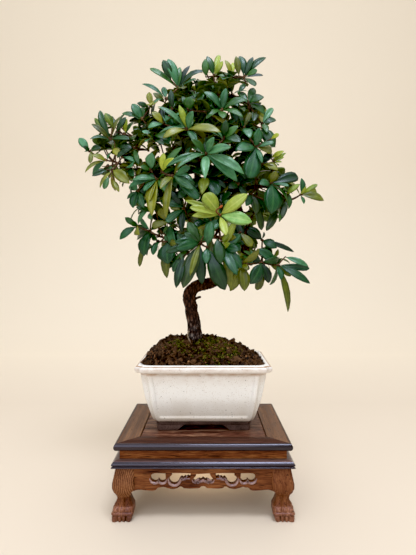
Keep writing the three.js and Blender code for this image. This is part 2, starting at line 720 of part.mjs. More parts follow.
// The leafy sprays. Each grows from a limb at the given place along its points and
// carries rosettes: where each sits in the reference view, how many leaves it has, its
// size against a usual rosette, and the leaf tips that shape the crown's outline, each
// with the leaf's width.
const SPRAYS = [
  {
    name: 'left_tip',
    limb: 'left',
    at: 5,
    rosettes: [
      { at: [106, 160, -16], leaves: 4, tips: [
        [85, 172.5, -22, 8], [92.5, 175, -10, 12], [92, 155, -28, 10],
      ] },
      { at: [89, 151, -12], leaves: 3, size: 0.7, tips: [
        [79, 138, -12, 12], [83, 146, -22, 7], [101, 148, -26, 10],
      ] },
    ],
  },
  {
    name: 'left_star',
    limb: 'left_upper',
    at: 5,
    rosettes: [
      { at: [125, 134, -4], leaves: 3, size: 0.7, tips: [
        [127, 119, -6, 9], [133, 122, 4, 9],
      ] },
      { at: [110, 139, -12], leaves: 7, tips: [
        [100, 110.5, -12, 11], [94.5, 118, 2, 9], [91.5, 124, -22, 9], [90, 139, -30, 8],
        [121, 116, -6, 9], [129, 139, -40, 9],
      ] },
    ],
  },
  {
    name: 'left_under',
    limb: 'left',
    at: 4,
    rosettes: [
      { at: [113, 170, -30], leaves: 4, tips: [
        [129.5, 183.5, -44, 16], [100, 188, -34, 7], [115.5, 191, -20, 8],
      ] },
      { at: [122, 157, -26], leaves: 3, tips: [
        [140, 163, -24, 8], [113, 149, -18, 12],
      ] },
    ],
  },
  {
    name: 'left_dark',
    limb: 'left_upper',
    at: 4,
    rosettes: [
      { at: [134, 148, -20], leaves: 4, tips: [
        [117, 158, -28, 14], [119, 147, -14, 12], [139, 165, -30, 9],
      ] },
      { at: [148, 150, -6], leaves: 4, tips: [] },
    ],
  },
  {
    name: 'left_pale',
    limb: 'left',
    at: 3,
    rosettes: [
      { at: [157, 179, -46], leaves: 7, tips: [
        [132, 180, -56, 11], [129, 187, -46, 10], [144, 191, -58, 10], [148, 202, -60, 12],
        [152, 216, -66, 16], [170, 194, -62, 11],
      ] },
      { at: [151, 170, -34], leaves: 3, tips: [
        [152, 152.5, -44, 17], [140, 166, -40, 9],
      ] },
      { at: [138, 191, -24], leaves: 4, tips: [
        [133, 208, -30, 15], [127, 199, -22, 7], [144, 208, -36, 13],
      ] },
    ],
  },
  {
    name: 'upper_left',
    limb: 'left_upper',
    at: 3,
    rosettes: [
      { at: [142, 119, -6], leaves: 4, tips: [
        [122, 113.5, -8, 9], [132, 104, -8, 14], [143, 106, 4, 9],
      ] },
      { at: [151, 106, 4], leaves: 3, tips: [
        [149, 92, 4, 10], [158, 100, 12, 9],
      ] },
    ],
  },
  {
    name: 'crown_left',
    limb: 'left_top',
    at: 2,
    rosettes: [
      { at: [166, 99, -6], leaves: 4, tips: [
        [142, 84, -6, 7], [163, 87, 6, 9], [154, 103, -26, 9],
      ] },
      { at: [178, 88, 0], leaves: 7, tips: [
        [168, 59, -4, 15], [150, 68.5, -4, 9], [180, 67, 6, 9], [190, 65.5, 8, 9],
        [205, 71, -4, 10], [196, 79, -20, 9],
      ] },
    ],
  },
  {
    name: 'crown_top',
    limb: 'trunk',
    at: 14,
    rosettes: [
      { at: [214, 76, -2], leaves: 3, tips: [
        [207, 56, -2, 12], [219, 55, 8, 9],
      ] },
      { at: [232, 77, 4], leaves: 3, tips: [
        [233, 62.5, 10, 7], [225, 60, 0, 8],
      ] },
      { at: [244, 77, -4], leaves: 6, tips: [
        [240, 56, 2, 13], [253, 57, -6, 10], [266, 57.5, 0, 10], [263, 75.5, -8, 9],
        [255, 86, -26, 12],
      ] },
    ],
  },
  {
    name: 'front_top',
    limb: 'trunk',
    at: 13,
    rosettes: [
      { at: [222, 110, -44], leaves: 6, tips: [
        [204, 92, -50, 14], [226, 88, -50, 11], [247, 100, -52, 12], [243, 117.5, -66, 12],
        [206, 119, -64, 10],
      ] },
      { at: [188, 110, -42], leaves: 3, tips: [
        [190, 96.5, -52, 17], [178, 122, -62, 10],
      ] },
    ],
  },
  {
    name: 'upper_front',
    limb: 'front_upper',
    at: 2,
    rosettes: [
      { at: [187, 129, -76], leaves: 6, tips: [
        [179, 105, -86, 9], [158, 106.5, -84, 9], [193, 111, -92, 12], [221, 132, -100, 15],
        [163, 138, -90, 12],
      ] },
      { at: [164, 124, -48], leaves: 4, tips: [
        [152, 112, -54, 11], [148, 128, -58, 11],
      ] },
      { at: [172, 109, -30], leaves: 2, tips: [
        [171, 90, -34, 10],
      ] },
    ],
  },
  {
    name: 'front_star',
    limb: 'front_upper',
    at: 1.6,
    rosettes: [
      { at: [206, 154, -96], leaves: 8, tips: [
        [166, 167, -112, 9], [177, 168, -126, 9], [191, 139, -112, 10], [214, 137, -112, 11],
        [231, 147, -116, 13], [244, 174, -112, 14], [237, 181, -98, 15], [205, 179, -130, 12],
      ] },
      { at: [224, 138, -72], leaves: 4, tips: [
        [241, 142, -88, 14], [226, 120, -86, 12], [238, 126, -80, 12],
      ] },
    ],
  },
  {
    name: 'left_front_star',
    limb: 'left',
    at: 1.7,
    rosettes: [
      { at: [173, 176, -84], leaves: 6, tips: [
        [194, 190, -104, 13], [199, 199, -96, 14], [160, 189, -106, 10], [166, 218, -92, 11],
        [190, 168, -108, 12],
      ] },
      { at: [162, 172, -70], leaves: 4, tips: [
        [174, 158, -88, 10], [164, 153, -78, 11], [182, 147, -78, 11],
      ] },
    ],
  },
  {
    name: 'right_crown',
    limb: 'right_upper',
    at: 2,
    rosettes: [
      { at: [248, 103, -20], leaves: 5, tips: [
        [264, 97, -24, 17], [265, 115, -20, 13], [254, 88, -8, 12], [238, 92, -6, 12],
      ] },
      { at: [262, 124, -16], leaves: 4, tips: [
        [267, 133, -34, 10], [276, 120, -12, 11], [273, 108, -2, 10],
      ] },
    ],
  },
  {
    name: 'right_middle',
    limb: 'right_upper',
    at: 1,
    rosettes: [
      { at: [256, 147, -46], leaves: 7, tips: [
        [249, 178, -66, 24], [274, 142, -52, 10], [272, 152, -42, 14], [236, 150, -72, 18],
        [259, 128, -60, 13], [262, 163, -64, 9],
      ] },
      { at: [244, 128, -44], leaves: 2, tips: [
        [250, 138, -66, 14],
      ] },
    ],
  },
  {
    name: 'right_young',
    limb: 'right',
    at: 2.4,
    rosettes: [
      { at: [274, 162, -4], leaves: 7, size: 0.45, tips: [
        [286, 153, -6, 5], [284, 157, 4, 5], [280, 151, -14, 5], [282, 162, -8, 5],
      ] },
      { at: [262, 164, -14], leaves: 2, tips: [
        [278, 170, -20, 15],
      ] },
    ],
  },
  {
    name: 'right_branch',
    limb: 'right',
    at: 3,
    rosettes: [
      { at: [271, 183, -26], leaves: 6, tips: [
        [271, 213.6, -36, 30], [298, 177, -14, 17], [276, 171, -40, 15], [289, 186, -40, 8],
        [259, 184, -42, 13],
      ] },
      { at: [288, 192, -10], leaves: 3, size: 0.7, tips: [
        [288.5, 209, -14, 7], [296, 188, -22, 8],
      ] },
    ],
  },
  {
    name: 'right_tip',
    limb: 'right',
    at: 5,
    rosettes: [
      { at: [301, 194.5, 0], leaves: 7, tips: [
        [317.5, 184.5, -8, 7], [301.5, 178, 4, 11], [324, 200.5, 6, 15], [316, 190, 14, 13],
        [304, 204, -4, 7], [306, 186, -14, 6],
      ] },
    ],
  },
  {
    name: 'right_hanging',
    limb: 'right',
    at: 1.6,
    rosettes: [
      { at: [251, 194, -20], leaves: 4, tips: [
        [256, 214, -28, 16], [261.5, 230, -22, 15], [246, 206, -38, 12],
      ] },
      { at: [276, 203, -8], leaves: 4, tips: [
        [266.5, 231, -14, 14], [285, 206, -2, 10], [270, 222, 4, 14],
      ] },
    ],
  },
  {
    name: 'young_front',
    limb: 'front_lower',
    at: 2,
    rosettes: [
      { at: [220, 215, -106], leaves: 7, tips: [
        [204, 194, -118, 20], [185, 200.5, -104, 8], [190, 207.5, -122, 10], [192, 216, -112, 10],
        [247.5, 194, -118, 17], [252, 222, -116, 18], [226, 235, -128, 10],
      ] },
    ],
  },
  {
    name: 'middle_front',
    limb: 'front_lower',
    at: 1,
    rosettes: [
      { at: [206, 176, -56], leaves: 5, tips: [
        [218, 195, -74, 17], [202, 194, -76, 15], [221, 172, -78, 15], [226, 188, -66, 10],
      ] },
      { at: [238, 184, -46], leaves: 3, tips: [
        [228, 188, -62, 13], [246, 200, -52, 10],
      ] },
    ],
  },
  {
    name: 'left_inner',
    limb: 'lower_left',
    at: 2,
    rosettes: [
      { at: [184, 208, -50], leaves: 4, tips: [
        [170, 190, -56, 10], [182, 232, -60, 11], [166, 222, -58, 12],
      ] },
      { at: [170, 222, -36], leaves: 3, tips: [
        [152, 226, -34, 12], [159, 209, -36, 14],
      ] },
    ],
  },
  {
    name: 'lower_front',
    limb: 'front_lower',
    at: 3,
    rosettes: [
      { at: [200, 243, -100], leaves: 8, tips: [
        [175, 242, -112, 12], [176, 249, -122, 13], [184, 233, -106, 10], [183, 288, -108, 20],
        [190, 276, -120, 8], [202, 284, -94, 15], [188, 222, -100, 15], [166, 252, -110, 9],
      ] },
      { at: [207, 247, -100], leaves: 4, tips: [
        [206, 264, -110, 12], [225, 290, -98, 22], [211, 221, -108, 14],
      ] },
    ],
  },
  {
    name: 'lower_front_right',
    limb: 'front_lower',
    at: 2.6,
    rosettes: [
      { at: [223, 247, -98], leaves: 7, tips: [
        [239, 250, -112, 13], [242, 268, -108, 15], [237, 275, -116, 15], [236, 219, -112, 10],
        [230, 243, -118, 8], [231, 290, -92, 12],
      ] },
      { at: [240, 232, -76], leaves: 2, tips: [
        [252, 246, -82, 12],
      ] },
    ],
  },
  {
    name: 'lower_left_tip',
    limb: 'lower_left',
    at: 4,
    rosettes: [
      { at: [150, 231, -16], leaves: 4, tips: [
        [144, 256, -22, 21], [139.5, 266.5, -10, 8], [160, 222, -22, 12],
      ] },
      { at: [137, 226, -10], leaves: 5, tips: [
        [119.6, 239.5, -12, 13], [125, 217.5, -8, 9], [129, 222, -22, 8], [149, 208.5, -24, 8],
      ] },
    ],
  },
  {
    name: 'lower_left',
    limb: 'lower_left',
    at: 3,
    rosettes: [
      { at: [168, 241, -44], leaves: 4, tips: [
        [168, 264, -52, 28], [167, 278, -38, 14], [176, 244, -60, 9],
      ] },
      { at: [158, 241, -22], leaves: 3, size: 0.8, tips: [
        [153, 255, -26, 11], [156, 248, -32, 6],
      ] },
    ],
  },
  {
    name: 'lower_right_upper',
    limb: 'lower_right',
    at: 2,
    rosettes: [
      { at: [262, 240, -6], leaves: 6, tips: [
        [248, 227, -10, 12], [247, 231, -22, 12], [277, 248, -12, 15], [294, 252, -4, 7],
        [264, 232, 4, 4],
      ] },
    ],
  },
  {
    name: 'lower_right_tip',
    limb: 'lower_right',
    at: 3,
    rosettes: [
      { at: [278, 265, -4], leaves: 7, tips: [
        [309.3, 268.5, -6, 10], [310, 283.5, -12, 12], [288, 312, -2, 14], [291, 276, 4, 12],
        [281, 280, -18, 12], [257, 249, -14, 15],
      ] },
    ],
  },
  {
    name: 'lower_right',
    limb: 'lower_right',
    at: 1.4,
    rosettes: [
      { at: [262, 262, -30], leaves: 5, tips: [
        [250, 284, -40, 22], [269, 283, -26, 14], [257, 290, -18, 13], [248, 256, -40, 12],
      ] },
      { at: [242, 264, -36], leaves: 4, tips: [
        [244.5, 291, -42, 17], [230, 291, -36, 13], [248, 270, -50, 9],
      ] },
    ],
  },
  {
    name: 'back_top',
    limb: 'trunk',
    at: 12.6,
    rosettes: [
      { at: [205, 104, 46], leaves: 5, tips: [] },
      { at: [232, 94, 46], leaves: 4, tips: [
        [250, 92, 56, 12],
      ] },
      { at: [183, 100, 40], leaves: 4, tips: [] },
      { at: [256, 108, 40], leaves: 4, tips: [] },
    ],
  },
  {
    name: 'back_left_upper',
    limb: 'left_upper',
    at: 2,
    rosettes: [
      { at: [170, 122, 54], leaves: 5, tips: [] },
      { at: [146, 140, 44], leaves: 5, tips: [] },
      { at: [188, 140, 92], leaves: 5, tips: [] },
    ],
  },
  {
    name: 'back_upper',
    limb: 'back_upper',
    at: 2,
    rosettes: [
      { at: [212, 118, 92], leaves: 5, tips: [] },
      { at: [222, 146, 102], leaves: 5, tips: [] },
      { at: [248, 132, 84], leaves: 5, tips: [] },
      { at: [194, 164, 102], leaves: 5, tips: [] },
    ],
  },
  {
    name: 'back_left',
    limb: 'left',
    at: 2.2,
    rosettes: [
      { at: [168, 180, 56], leaves: 5, tips: [] },
      { at: [150, 192, 36], leaves: 4, tips: [] },
      { at: [176, 156, 74], leaves: 4, tips: [] },
    ],
  },
  {
    name: 'back_middle',
    limb: 'back_lower',
    at: 2,
    rosettes: [
      { at: [208, 192, 102], leaves: 5, tips: [] },
      { at: [236, 184, 96], leaves: 5, tips: [] },
      { at: [196, 222, 90], leaves: 5, tips: [] },
      { at: [228, 218, 94], leaves: 5, tips: [] },
    ],
  },
  {
    name: 'back_right',
    limb: 'back_lower',
    at: 1,
    rosettes: [
      { at: [258, 176, 66], leaves: 5, tips: [] },
      { at: [256, 206, 60], leaves: 5, tips: [] },
      { at: [244, 238, 64], leaves: 5, tips: [] },
    ],
  },
];

const UP = new THREE.Vector3(0, 0, 1);

// The way a rosette faces: out of the crown, somewhat up, and to the nearer long side
function rosetteAxis(hub) {
  const out = hub.clone().sub(CROWN_CORE).normalize();
  const lean = hub.y < BACK_FROM ? FRONT_LEAN : BACK_LEAN;
  return out.add(new THREE.Vector3(0, lean, CROWN_RISE)).normalize();
}

// How far up the knob a leaf starts, from the innermost leaf to the outermost
function rootHeight(share) {
  return THREE.MathUtils.lerp(ROOT_TOP, ROOT_BOTTOM, share);
}

// Where the draws of a rosette and of a leaf start
function rosetteSeed(hub) {
  return 7000 + 31 * Math.round(hub.x);
}

function leafSeed(sprayNumber, rosetteNumber, number) {
  return 9001 + 400 * sprayNumber + 40 * rosetteNumber + number;
}

// Two directions square to an axis and to each other
function across(axis) {
  const first = new THREE.Vector3().crossVectors(axis, UP).normalize();
  const second = new THREE.Vector3().crossVectors(axis, first).normalize();
  return [first, second];
}

// How leaves without a given tip are spread about their rosette: angles in radians, and
// lengths and widths as parts of the usual leaf. A draw's range is centred on its value
// where that is an angle, and otherwise starts from the least value.
const SPREAD_LEAST = 0.25;
const SPREAD_GAIN = 1.15;
const SPREAD_RANGE = 0.4;
const SPREAD_STEP = 0.12;
const SPREAD_STEPS = 3;
const SWING_STEP = 0.42;
const SWING_RANGE = 0.5;
const UPPER_LENGTH = 0.66;
const LENGTH_LEAST = 0.84;
const LENGTH_RANGE = 0.32;
const LENGTH_STEP = 0.03;
const WIDTH_LEAST = 0.82;
const WIDTH_RANGE = 0.4;
const TIP_DROOP = 0.14;
const DEPTH_STEP = 5;
const ARCH_LEAST = 0.05;
const ARCH_RANGE = 0.06;
const FACE_UP = 0.25;
const FACE_EYE = 0.9;

// From one try to the next, steps of 0, -1, 1, -2, 2 and so on
function sideStep(attempt) {
  return (attempt % 2 === 0 ? 1 : -1) * Math.ceil(attempt / 2);
}

// The tip and width of a leaf whose tip is given: it slides along the line of sight from
// one try to the next
function givenTip([column, row, depth, width], attempt) {
  return { tip: seen([column, row, depth + DEPTH_STEP * sideStep(attempt)]), width };
}

// The tip and width of any other leaf: it turns about the rosette's axis from one try to
// the next, and the lower it starts, the longer it is and the wider it spreads
function freeTip(rosette, hub, seed, number, attempt) {
  const axis = rosetteAxis(hub);
  const [first, second] = across(axis);
  const share = (number + 0.5) / rosette.leaves;
  const size = rosette.size ?? 1;
  const start = FULL_TURN * draw(rosetteSeed(hub));
  const swing = SWING_RANGE * (draw(seed) - 0.5) + SWING_STEP * sideStep(attempt);
  const azimuth = GOLDEN_ANGLE * number + start + swing;
  const spread = SPREAD_LEAST + SPREAD_GAIN * share + SPREAD_RANGE * draw(seed, 2)
    + SPREAD_STEP * (attempt % SPREAD_STEPS);
  const length = LEAF_LENGTH * size * THREE.MathUtils.lerp(UPPER_LENGTH, 1, share)
    * (LENGTH_LEAST + LENGTH_RANGE * draw(seed, 3));
  const reach = length * (1 - LENGTH_STEP * attempt);
  const tip = hub.clone().addScaledVector(axis, rootHeight(share) + reach * Math.cos(spread));
  tip.addScaledVector(first, reach * Math.sin(spread) * Math.cos(azimuth));
  tip.addScaledVector(second, reach * Math.sin(spread) * Math.sin(azimuth));
  tip.z -= TIP_DROOP * length * share;
  return { tip, width: LEAF_WIDTH * size * (WIDTH_LEAST + WIDTH_RANGE * draw(seed, 4)) };
}

// One try at a leaf of a rosette: its root, its tip, the way its upper face looks, its
// width and its arch
function leafPose(rosette, hub, seed, number, attempt) {
  const axis = rosetteAxis(hub);
  const given = rosette.tips[number];
  const { tip, width } = given
    ? givenTip(given, attempt)
    : freeTip(rosette, hub, seed, number, attempt);
  const outward = tip.clone().sub(hub);
  outward.addScaledVector(axis, -outward.dot(axis)).normalize();
  const root = hub.clone().addScaledVector(axis, rootHeight((number + 0.5) / rosette.leaves));
  root.addScaledVector(outward, ROOT_RADIUS);
  const along = tip.clone().sub(root).normalize();
  const face = axis.clone().addScaledVector(UP, FACE_UP);
  if (given) {
    face.addScaledVector(EYE.clone().sub(hub).normalize(), FACE_EYE);
  }
  face.addScaledVector(along, -face.dot(along)).normalize();
  return { root, tip, face, width, arch: ARCH_LEAST + ARCH_RANGE * draw(seed, 5) };
}

// A leaf blade from a narrow start to the tip: two broad stations, each with a left and a
// right margin and a keel under them, arched along the leaf's length
const BROAD_STATIONS = [[0.42, 0.41], [0.76, 0.44]];

function bladeSolid({ root, tip, face, width, arch }, start = 0) {
  const along = tip.clone().sub(root);
  const length = along.length();
  along.normalize();
  const side = new THREE.Vector3().crossVectors(along, face);
  const rib = (share) => root.clone()
    .addScaledVector(along, length * share)
    .addScaledVector(face, 4 * arch * length * share * (1 - share));
  const points = [];
  points.push(rib(start).addScaledVector(face, LEAF_ROOT_THICKNESS / 2));
  points.push(rib(start).addScaledVector(face, -LEAF_ROOT_THICKNESS / 2));
  BROAD_STATIONS.forEach(([share, part]) => {
    const middle = rib(share).addScaledVector(face, LEAF_THICKNESS / 2);
    points.push(middle.clone().addScaledVector(side, width * part));
    points.push(middle.clone().addScaledVector(side, -width * part));
    points.push(middle.clone().addScaledVector(face, -LEAF_THICKNESS));
  });
  points.push(rib(1));
  const geometry = new THREE.BufferGeometry();
  geometry.setFromPoints(points);
  geometry.setIndex([
    0, 2, 3, 2, 5, 3, 3, 5, 6, 5, 8, 6,
    0, 1, 2, 1, 4, 2, 2, 4, 5, 4, 7, 5, 5, 7, 8,
    0, 3, 1, 1, 3, 4, 3, 6, 4, 4, 6, 7, 6, 8, 7,
  ]);
  return solidOf(geometry);
}

// The knob that a rosette's leaves grow from, pointed at both ends
function hubSolid(hub) {
  const axis = rosetteAxis(hub);
  const geometry = new THREE.LatheGeometry(
    [[0, -HUB_BELOW], [HUB_RADIUS, 0], [0, HUB_ABOVE]].map(([x, y]) => new THREE.Vector2(x, y)),
    HUB_SIDES,
  );
  geometry.applyQuaternion(new THREE.Quaternion().setFromUnitVectors(new THREE.Vector3(0, 1, 0), axis));
  geometry.translate(hub.x, hub.y, hub.z);
  return solidOf(geometry);
}

// Where a spray's twig starts, just clear of the limb that it grows from
function sprayRoot(spray, limbSolid) {
  const start = limbPlace(spray.limb, spray.at);
  const firstHub = seen(spray.rosettes[0].at);
  const along = firstHub.clone().sub(start).normalize();
  let reach = 0;
  const probe = () => {
    const from = start.clone().addScaledVector(along, reach);
    return stick(from, firstHub, TWIG_RADII, TWIG_SIDES);
  };
  while (probe().minGap(limbSolid, 2 * SEAT_GAP) < SEAT_LEAST) {
    reach += SEAT_GAP / 2;
  }
  return start.addScaledVector(along, reach);
}

// The twigs of a spray, each as its two ends: one from the limb to the first rosette, and
// one to each further rosette from the nearest rosette before it
function sprayTwigs(spray, limbSolid) {
  const hubs = spray.rosettes.map((rosette) => seen(rosette.at));
  const nearer = (hub) => (best, end) => (end.distanceTo(hub) < best.distanceTo(hub) ? end : best);
  return hubs.map((hub, number) => {
    const from = number === 0 ? sprayRoot(spray, limbSolid) : hubs.slice(0, number).reduce(nearer(hub));
    return [from, hub];
  });
}

// The wood of the plant, one solid for each limb, with a root collar and a cut twig
function woodSolids() {
  const limbs = Object.values(LIMBS).map(({ places, radii, sides, steps }) => (
    taperedLimb(places.map(seen), radii, sides, steps)
  ));
  const collar = stick(TRUNK_BASE, seen(LIMBS.trunk.places[0]), COLLAR_RADII, COLLAR_SIDES);
  const cutTwig = stick(...CUT_TWIG.map(seen), CUT_TWIG_RADII, CUT_TWIG_SIDES);
  return [...limbs, collar, cutTwig];
}

// Solids already placed in the crown, each with its box, the node that it belongs to and,
// for a leaf, its part away from the root
const placed = [];

function remember(solid, owner, outer = solid) {
  placed.push({ solid, owner, outer, box: solid.boundingBox() });
}

function boxesMeet(first, second, margin) {
  return [0, 1, 2].every((axis) => (
    first.min[axis] - margin < second.max[axis] && second.min[axis] - margin < first.max[axis]
  ));
}

function gapBetween(first, second) {
  return first.minGap(second, 2 * LEAF_CLEARANCE);
}

// Whether a blade stays off all other nodes and, if it is asked, off its own node's leaves
function isClear(blade, owner, isOwnCounted) {
  const box = blade.solid.boundingBox();
  return placed.every((other) => {
    if (!boxesMeet(box, other.box, LEAF_CLEARANCE)) {
      return true;
    }
    if (other.owner === owner) {
      return !isOwnCounted || gapBetween(blade.outer, other.outer) > 0;
    }
    return gapBetween(blade.solid, other.solid) > LEAF_CLEARANCE;
  });
}

// The first try that crosses nothing, or else the first that crosses only its own node
function firstClearBlade(rosette, hub, seed, number, owner) {
  const tries = [];
  for (let attempt = 0; attempt < LEAF_TRIES; attempt += 1) {
    const pose = leafPose(rosette, hub, seed, number, attempt);
    tries.push({ solid: bladeSolid(pose), outer: bladeSolid(pose, OUTER_START) });
  }
  const best = tries.find((blade) => isClear(blade, owner, true));
  return best ?? tries.find((blade) => isClear(blade, owner, false));
}

function buildCrown() {
  const wood = woodSolids();
  wood.forEach((solid) => remember(solid, 'wood'));
  const wholeWood = joined(wood);
  place('trunk_and_branches', geometryOf(wholeWood), BARK);

  const pieces = SPRAYS.map((spray) => {
    const twigs = sprayTwigs(spray, wholeWood).map(([from, to]) => (
      stick(from, to, TWIG_RADII, TWIG_SIDES)
    ));
    const hubs = spray.rosettes.map((rosette) => hubSolid(seen(rosette.at)));
    [...twigs, ...hubs].forEach((solid) => remember(solid, spray.name));
    return [...twigs, ...hubs];
  });

  // Leaves with given tips are placed first, so that they take the room they need
  [true, false].forEach((isGivenTurn) => {
    SPRAYS.forEach((spray, sprayNumber) => {
      spray.rosettes.forEach((rosette, rosetteNumber) => {
        const hub = seen(rosette.at);
        for (let number = 0; number < rosette.leaves; number += 1) {
          if (number < rosette.tips.length !== isGivenTurn) {
            continue;
          }
          const seed = leafSeed(sprayNumber, rosetteNumber, number);
          const blade = firstClearBlade(rosette, hub, seed, number, spray.name);
          if (blade) {
            remember(blade.solid, spray.name, blade.outer);
            pieces[sprayNumber].push(blade.solid);
          }
        }
      });
    });
  });

  SPRAYS.forEach((spray, number) => {
    const finish = spray.name === 'young_front' ? YOUNG_LEAF : LEAF;
    place(`spray_${spray.name}`, geometryOf(joined(pieces[number])), finish);
  });
}

buildTop();
buildWaist();
buildMoulding();
buildAprons();
buildLegs();
buildPot();
buildDrainMeshes();
buildSoil();
buildCrown();

export default model;
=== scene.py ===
"""Looks of a scarlet firethorn bonsai in a glazed pot on a carved wooden stand.

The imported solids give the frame. Each sub-assembly is a class: it holds its sizes in
millimetres, builds its meshes in metres in the frame's own axes, and dresses them.
"""

import json
import logging
import math
from collections.abc import Callable, Iterable, Sequence
from dataclasses import dataclass, field, replace
from enum import Enum

import bmesh
import bpy
import numpy as np
from bpy.types import Collection, ID, Material, Mesh, NodeSocket, NodeTree, Object
from mathutils import Matrix, Vector, kdtree, noise

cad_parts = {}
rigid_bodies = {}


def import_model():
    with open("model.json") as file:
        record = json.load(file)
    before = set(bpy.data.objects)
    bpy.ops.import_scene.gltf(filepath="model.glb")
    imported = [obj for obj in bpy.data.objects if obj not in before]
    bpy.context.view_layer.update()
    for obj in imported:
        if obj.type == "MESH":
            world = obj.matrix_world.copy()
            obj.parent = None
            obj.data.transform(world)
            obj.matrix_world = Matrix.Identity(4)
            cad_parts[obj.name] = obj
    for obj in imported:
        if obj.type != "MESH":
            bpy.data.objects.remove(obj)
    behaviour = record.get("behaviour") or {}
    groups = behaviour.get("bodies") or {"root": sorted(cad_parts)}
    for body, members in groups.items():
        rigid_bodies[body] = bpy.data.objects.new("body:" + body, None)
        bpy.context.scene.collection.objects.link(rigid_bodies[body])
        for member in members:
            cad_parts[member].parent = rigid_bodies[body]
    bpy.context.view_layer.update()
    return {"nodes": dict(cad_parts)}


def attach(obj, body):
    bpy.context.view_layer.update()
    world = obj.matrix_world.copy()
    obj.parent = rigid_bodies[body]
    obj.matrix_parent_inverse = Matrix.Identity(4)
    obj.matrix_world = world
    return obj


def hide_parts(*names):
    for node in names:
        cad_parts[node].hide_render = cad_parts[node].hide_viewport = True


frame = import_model()

LOG = logging.getLogger("firethorn")
MM = 0.001
BODY = "root"
GOLDEN_ANGLE = 2.39996
UP = Vector((0, 0, 1))

Point2 = tuple[float, float]
Point3 = tuple[float, float, float]
Face = tuple[int, ...]


def linear(colour: str) -> tuple[float, float, float, float]:
    """Turns an sRGB hex colour such as "#3a2b1c" to a linear colour with alpha.

    Args:
        colour: Six hex digits after a number sign.

    Returns:
        Red, green, blue and alpha, from 0 to 1.
    """
    parts = [int(colour[i:i + 2], 16) / 255 for i in (1, 3, 5)]
    red, green, blue = (part / 12.92 if part <= 0.04045 else ((part + 0.055) / 1.055) ** 2.4
        for part in parts)
    return red, green, blue, 1.0


def draw(seed: int, count: int = 1) -> float:
    """Gives a repeatable draw, by the same rule as the solids use.

    Args:
        seed: Where the draws start.
        count: Which draw to give.

    Returns:
        A number from 0 to 1.
    """
    state = seed & 0xFFFFFFFF
    for _ in range(count + 2):
        state = (1664525 * state + 1013904223) & 0xFFFFFFFF
    return state / 4294967296


def lerp(low: float, high: float, share: float) -> float:
    """Gives the number that lies at a share of the way from low to high."""
    return low + (high - low) * share


def smooth_step(low: float, high: float, value: float) -> float:
    """Rises smoothly with the value, from 0 at low to 1 at high."""
    share = min(max((value - low) / (high - low), 0.0), 1.0)
    return share * share * (3 - 2 * share)


def curve_through(points: Sequence[Sequence[float]], steps: int) -> list[list[float]]:
    """Lays a smooth curve through points, and gives places along it.

    Args:
        points: Points of any dimension, at least two.
        steps: The number of places between each two points.

    Returns:
        The places, with the first and the last point among them.
    """
    ends = [[2 * a - b for a, b in zip(points[0], points[1])], *[list(point) for point in points],
        [2 * a - b for a, b in zip(points[-1], points[-2])]]
    places = []
    for i in range(1, len(ends) - 2):
        for step in range(steps):
            t = step / steps
            weights = (-0.5 * t + t * t - 0.5 * t ** 3, 1 - 2.5 * t * t + 1.5 * t ** 3,
                0.5 * t + 2 * t * t - 1.5 * t ** 3, -0.5 * t * t + 0.5 * t ** 3)
            near = ends[i - 1:i + 3]
            places.append([sum(w * point[axis] for w, point in zip(weights, near))
                    for axis in range(len(points[0]))])
    places.append(list(points[-1]))
    return places


def table_value(table: Sequence[Point2], at: float) -> float:
    """Reads a table between its entries.

    Args:
        table: Rising places with their values.
        at: The place.

    Returns:
        The value there.
    """
    for (low, first), (high, second) in zip(table, table[1:]):
        if at <= high:
            return lerp(first, second, max(at - low, 0) / (high - low))
    return table[-1][1]


class MeshMaker:
    """Collects vertices in millimetres and faces, and makes them one mesh object."""

    def __init__(self) -> None:
        """Starts with no vertices."""
        self.vertices: list[Point3] = []
        self.faces: list[Face] = []
        self.face_slots: list[int] = []

    def add(self, vertices: Iterable[Sequence[float]], faces: Iterable[Face], slot: int = 0) -> None:
        """Adds a part with its own numbering of vertices.

        Args:
            vertices: Its vertices.
            faces: Its faces, as numbers of its vertices.
            slot: The number of the material slot.
        """
        start = len(self.vertices)
        self.vertices.extend(tuple(v) for v in vertices)
        for face in faces:
            self.faces.append(tuple(start + i for i in face))
            self.face_slots.append(slot)

    def add_loft(self, rings: Sequence[Sequence[Sequence[float]]], slot: int = 0, closed: bool = True,
            capped: bool = True) -> None:
        """Adds a skin over rings of equal length.

        Args:
            rings: The rings, each a list of points in the same order.
            slot: The number of the material slot.
            closed: Whether the last point of a ring joins its first.
            capped: Whether the first and last ring are closed.
        """
        count = len(rings[0])
        sides = count if closed else count - 1
        faces: list[Face] = []
        for ring in range(len(rings) - 1):
            for side in range(sides):
                a = ring * count + side
                b = ring * count + (side + 1) % count
                faces.append((a, b, b + count, a + count))
        if capped:
            faces.append(tuple(reversed(range(count))))
            faces.append(tuple((len(rings) - 1) * count + i for i in range(count)))
        self.add([point for ring in rings for point in ring], faces, slot)

    def build(self, name: str, materials: Sequence[Material], sharp: float = 40,
            outward: bool = True) -> Object:
        """Makes the object.

        Args:
            name: The name of the piece.
            materials: The materials in the order of their slots.
            sharp: The angle in degrees from which an edge stays sharp.
            outward: Whether the faces are turned to point outwards.

        Returns:
            The object, at the origin.
        """
        mesh = bpy.data.meshes.new(name)
        mesh.from_pydata([tuple(c * MM for c in v) for v in self.vertices], [], self.faces)
        for material in materials:
            mesh.materials.append(material)
        mesh.polygons.foreach_set("material_index", self.face_slots)
        if outward:
            work = bmesh.new()
            work.from_mesh(mesh)
            bmesh.ops.recalc_face_normals(work, faces=work.faces)
            work.to_mesh(mesh)
            work.free()
        return finished(name, mesh, sharp)


def placed(name: str, data: ID) -> Object:
    """Puts new data in the scene.

    Args:
        name: The name of the object.
        data: Its data.

    Returns:
        The object.
    """
    piece = bpy.data.objects.new(name, data)
    bpy.context.scene.collection.objects.link(piece)
    return piece


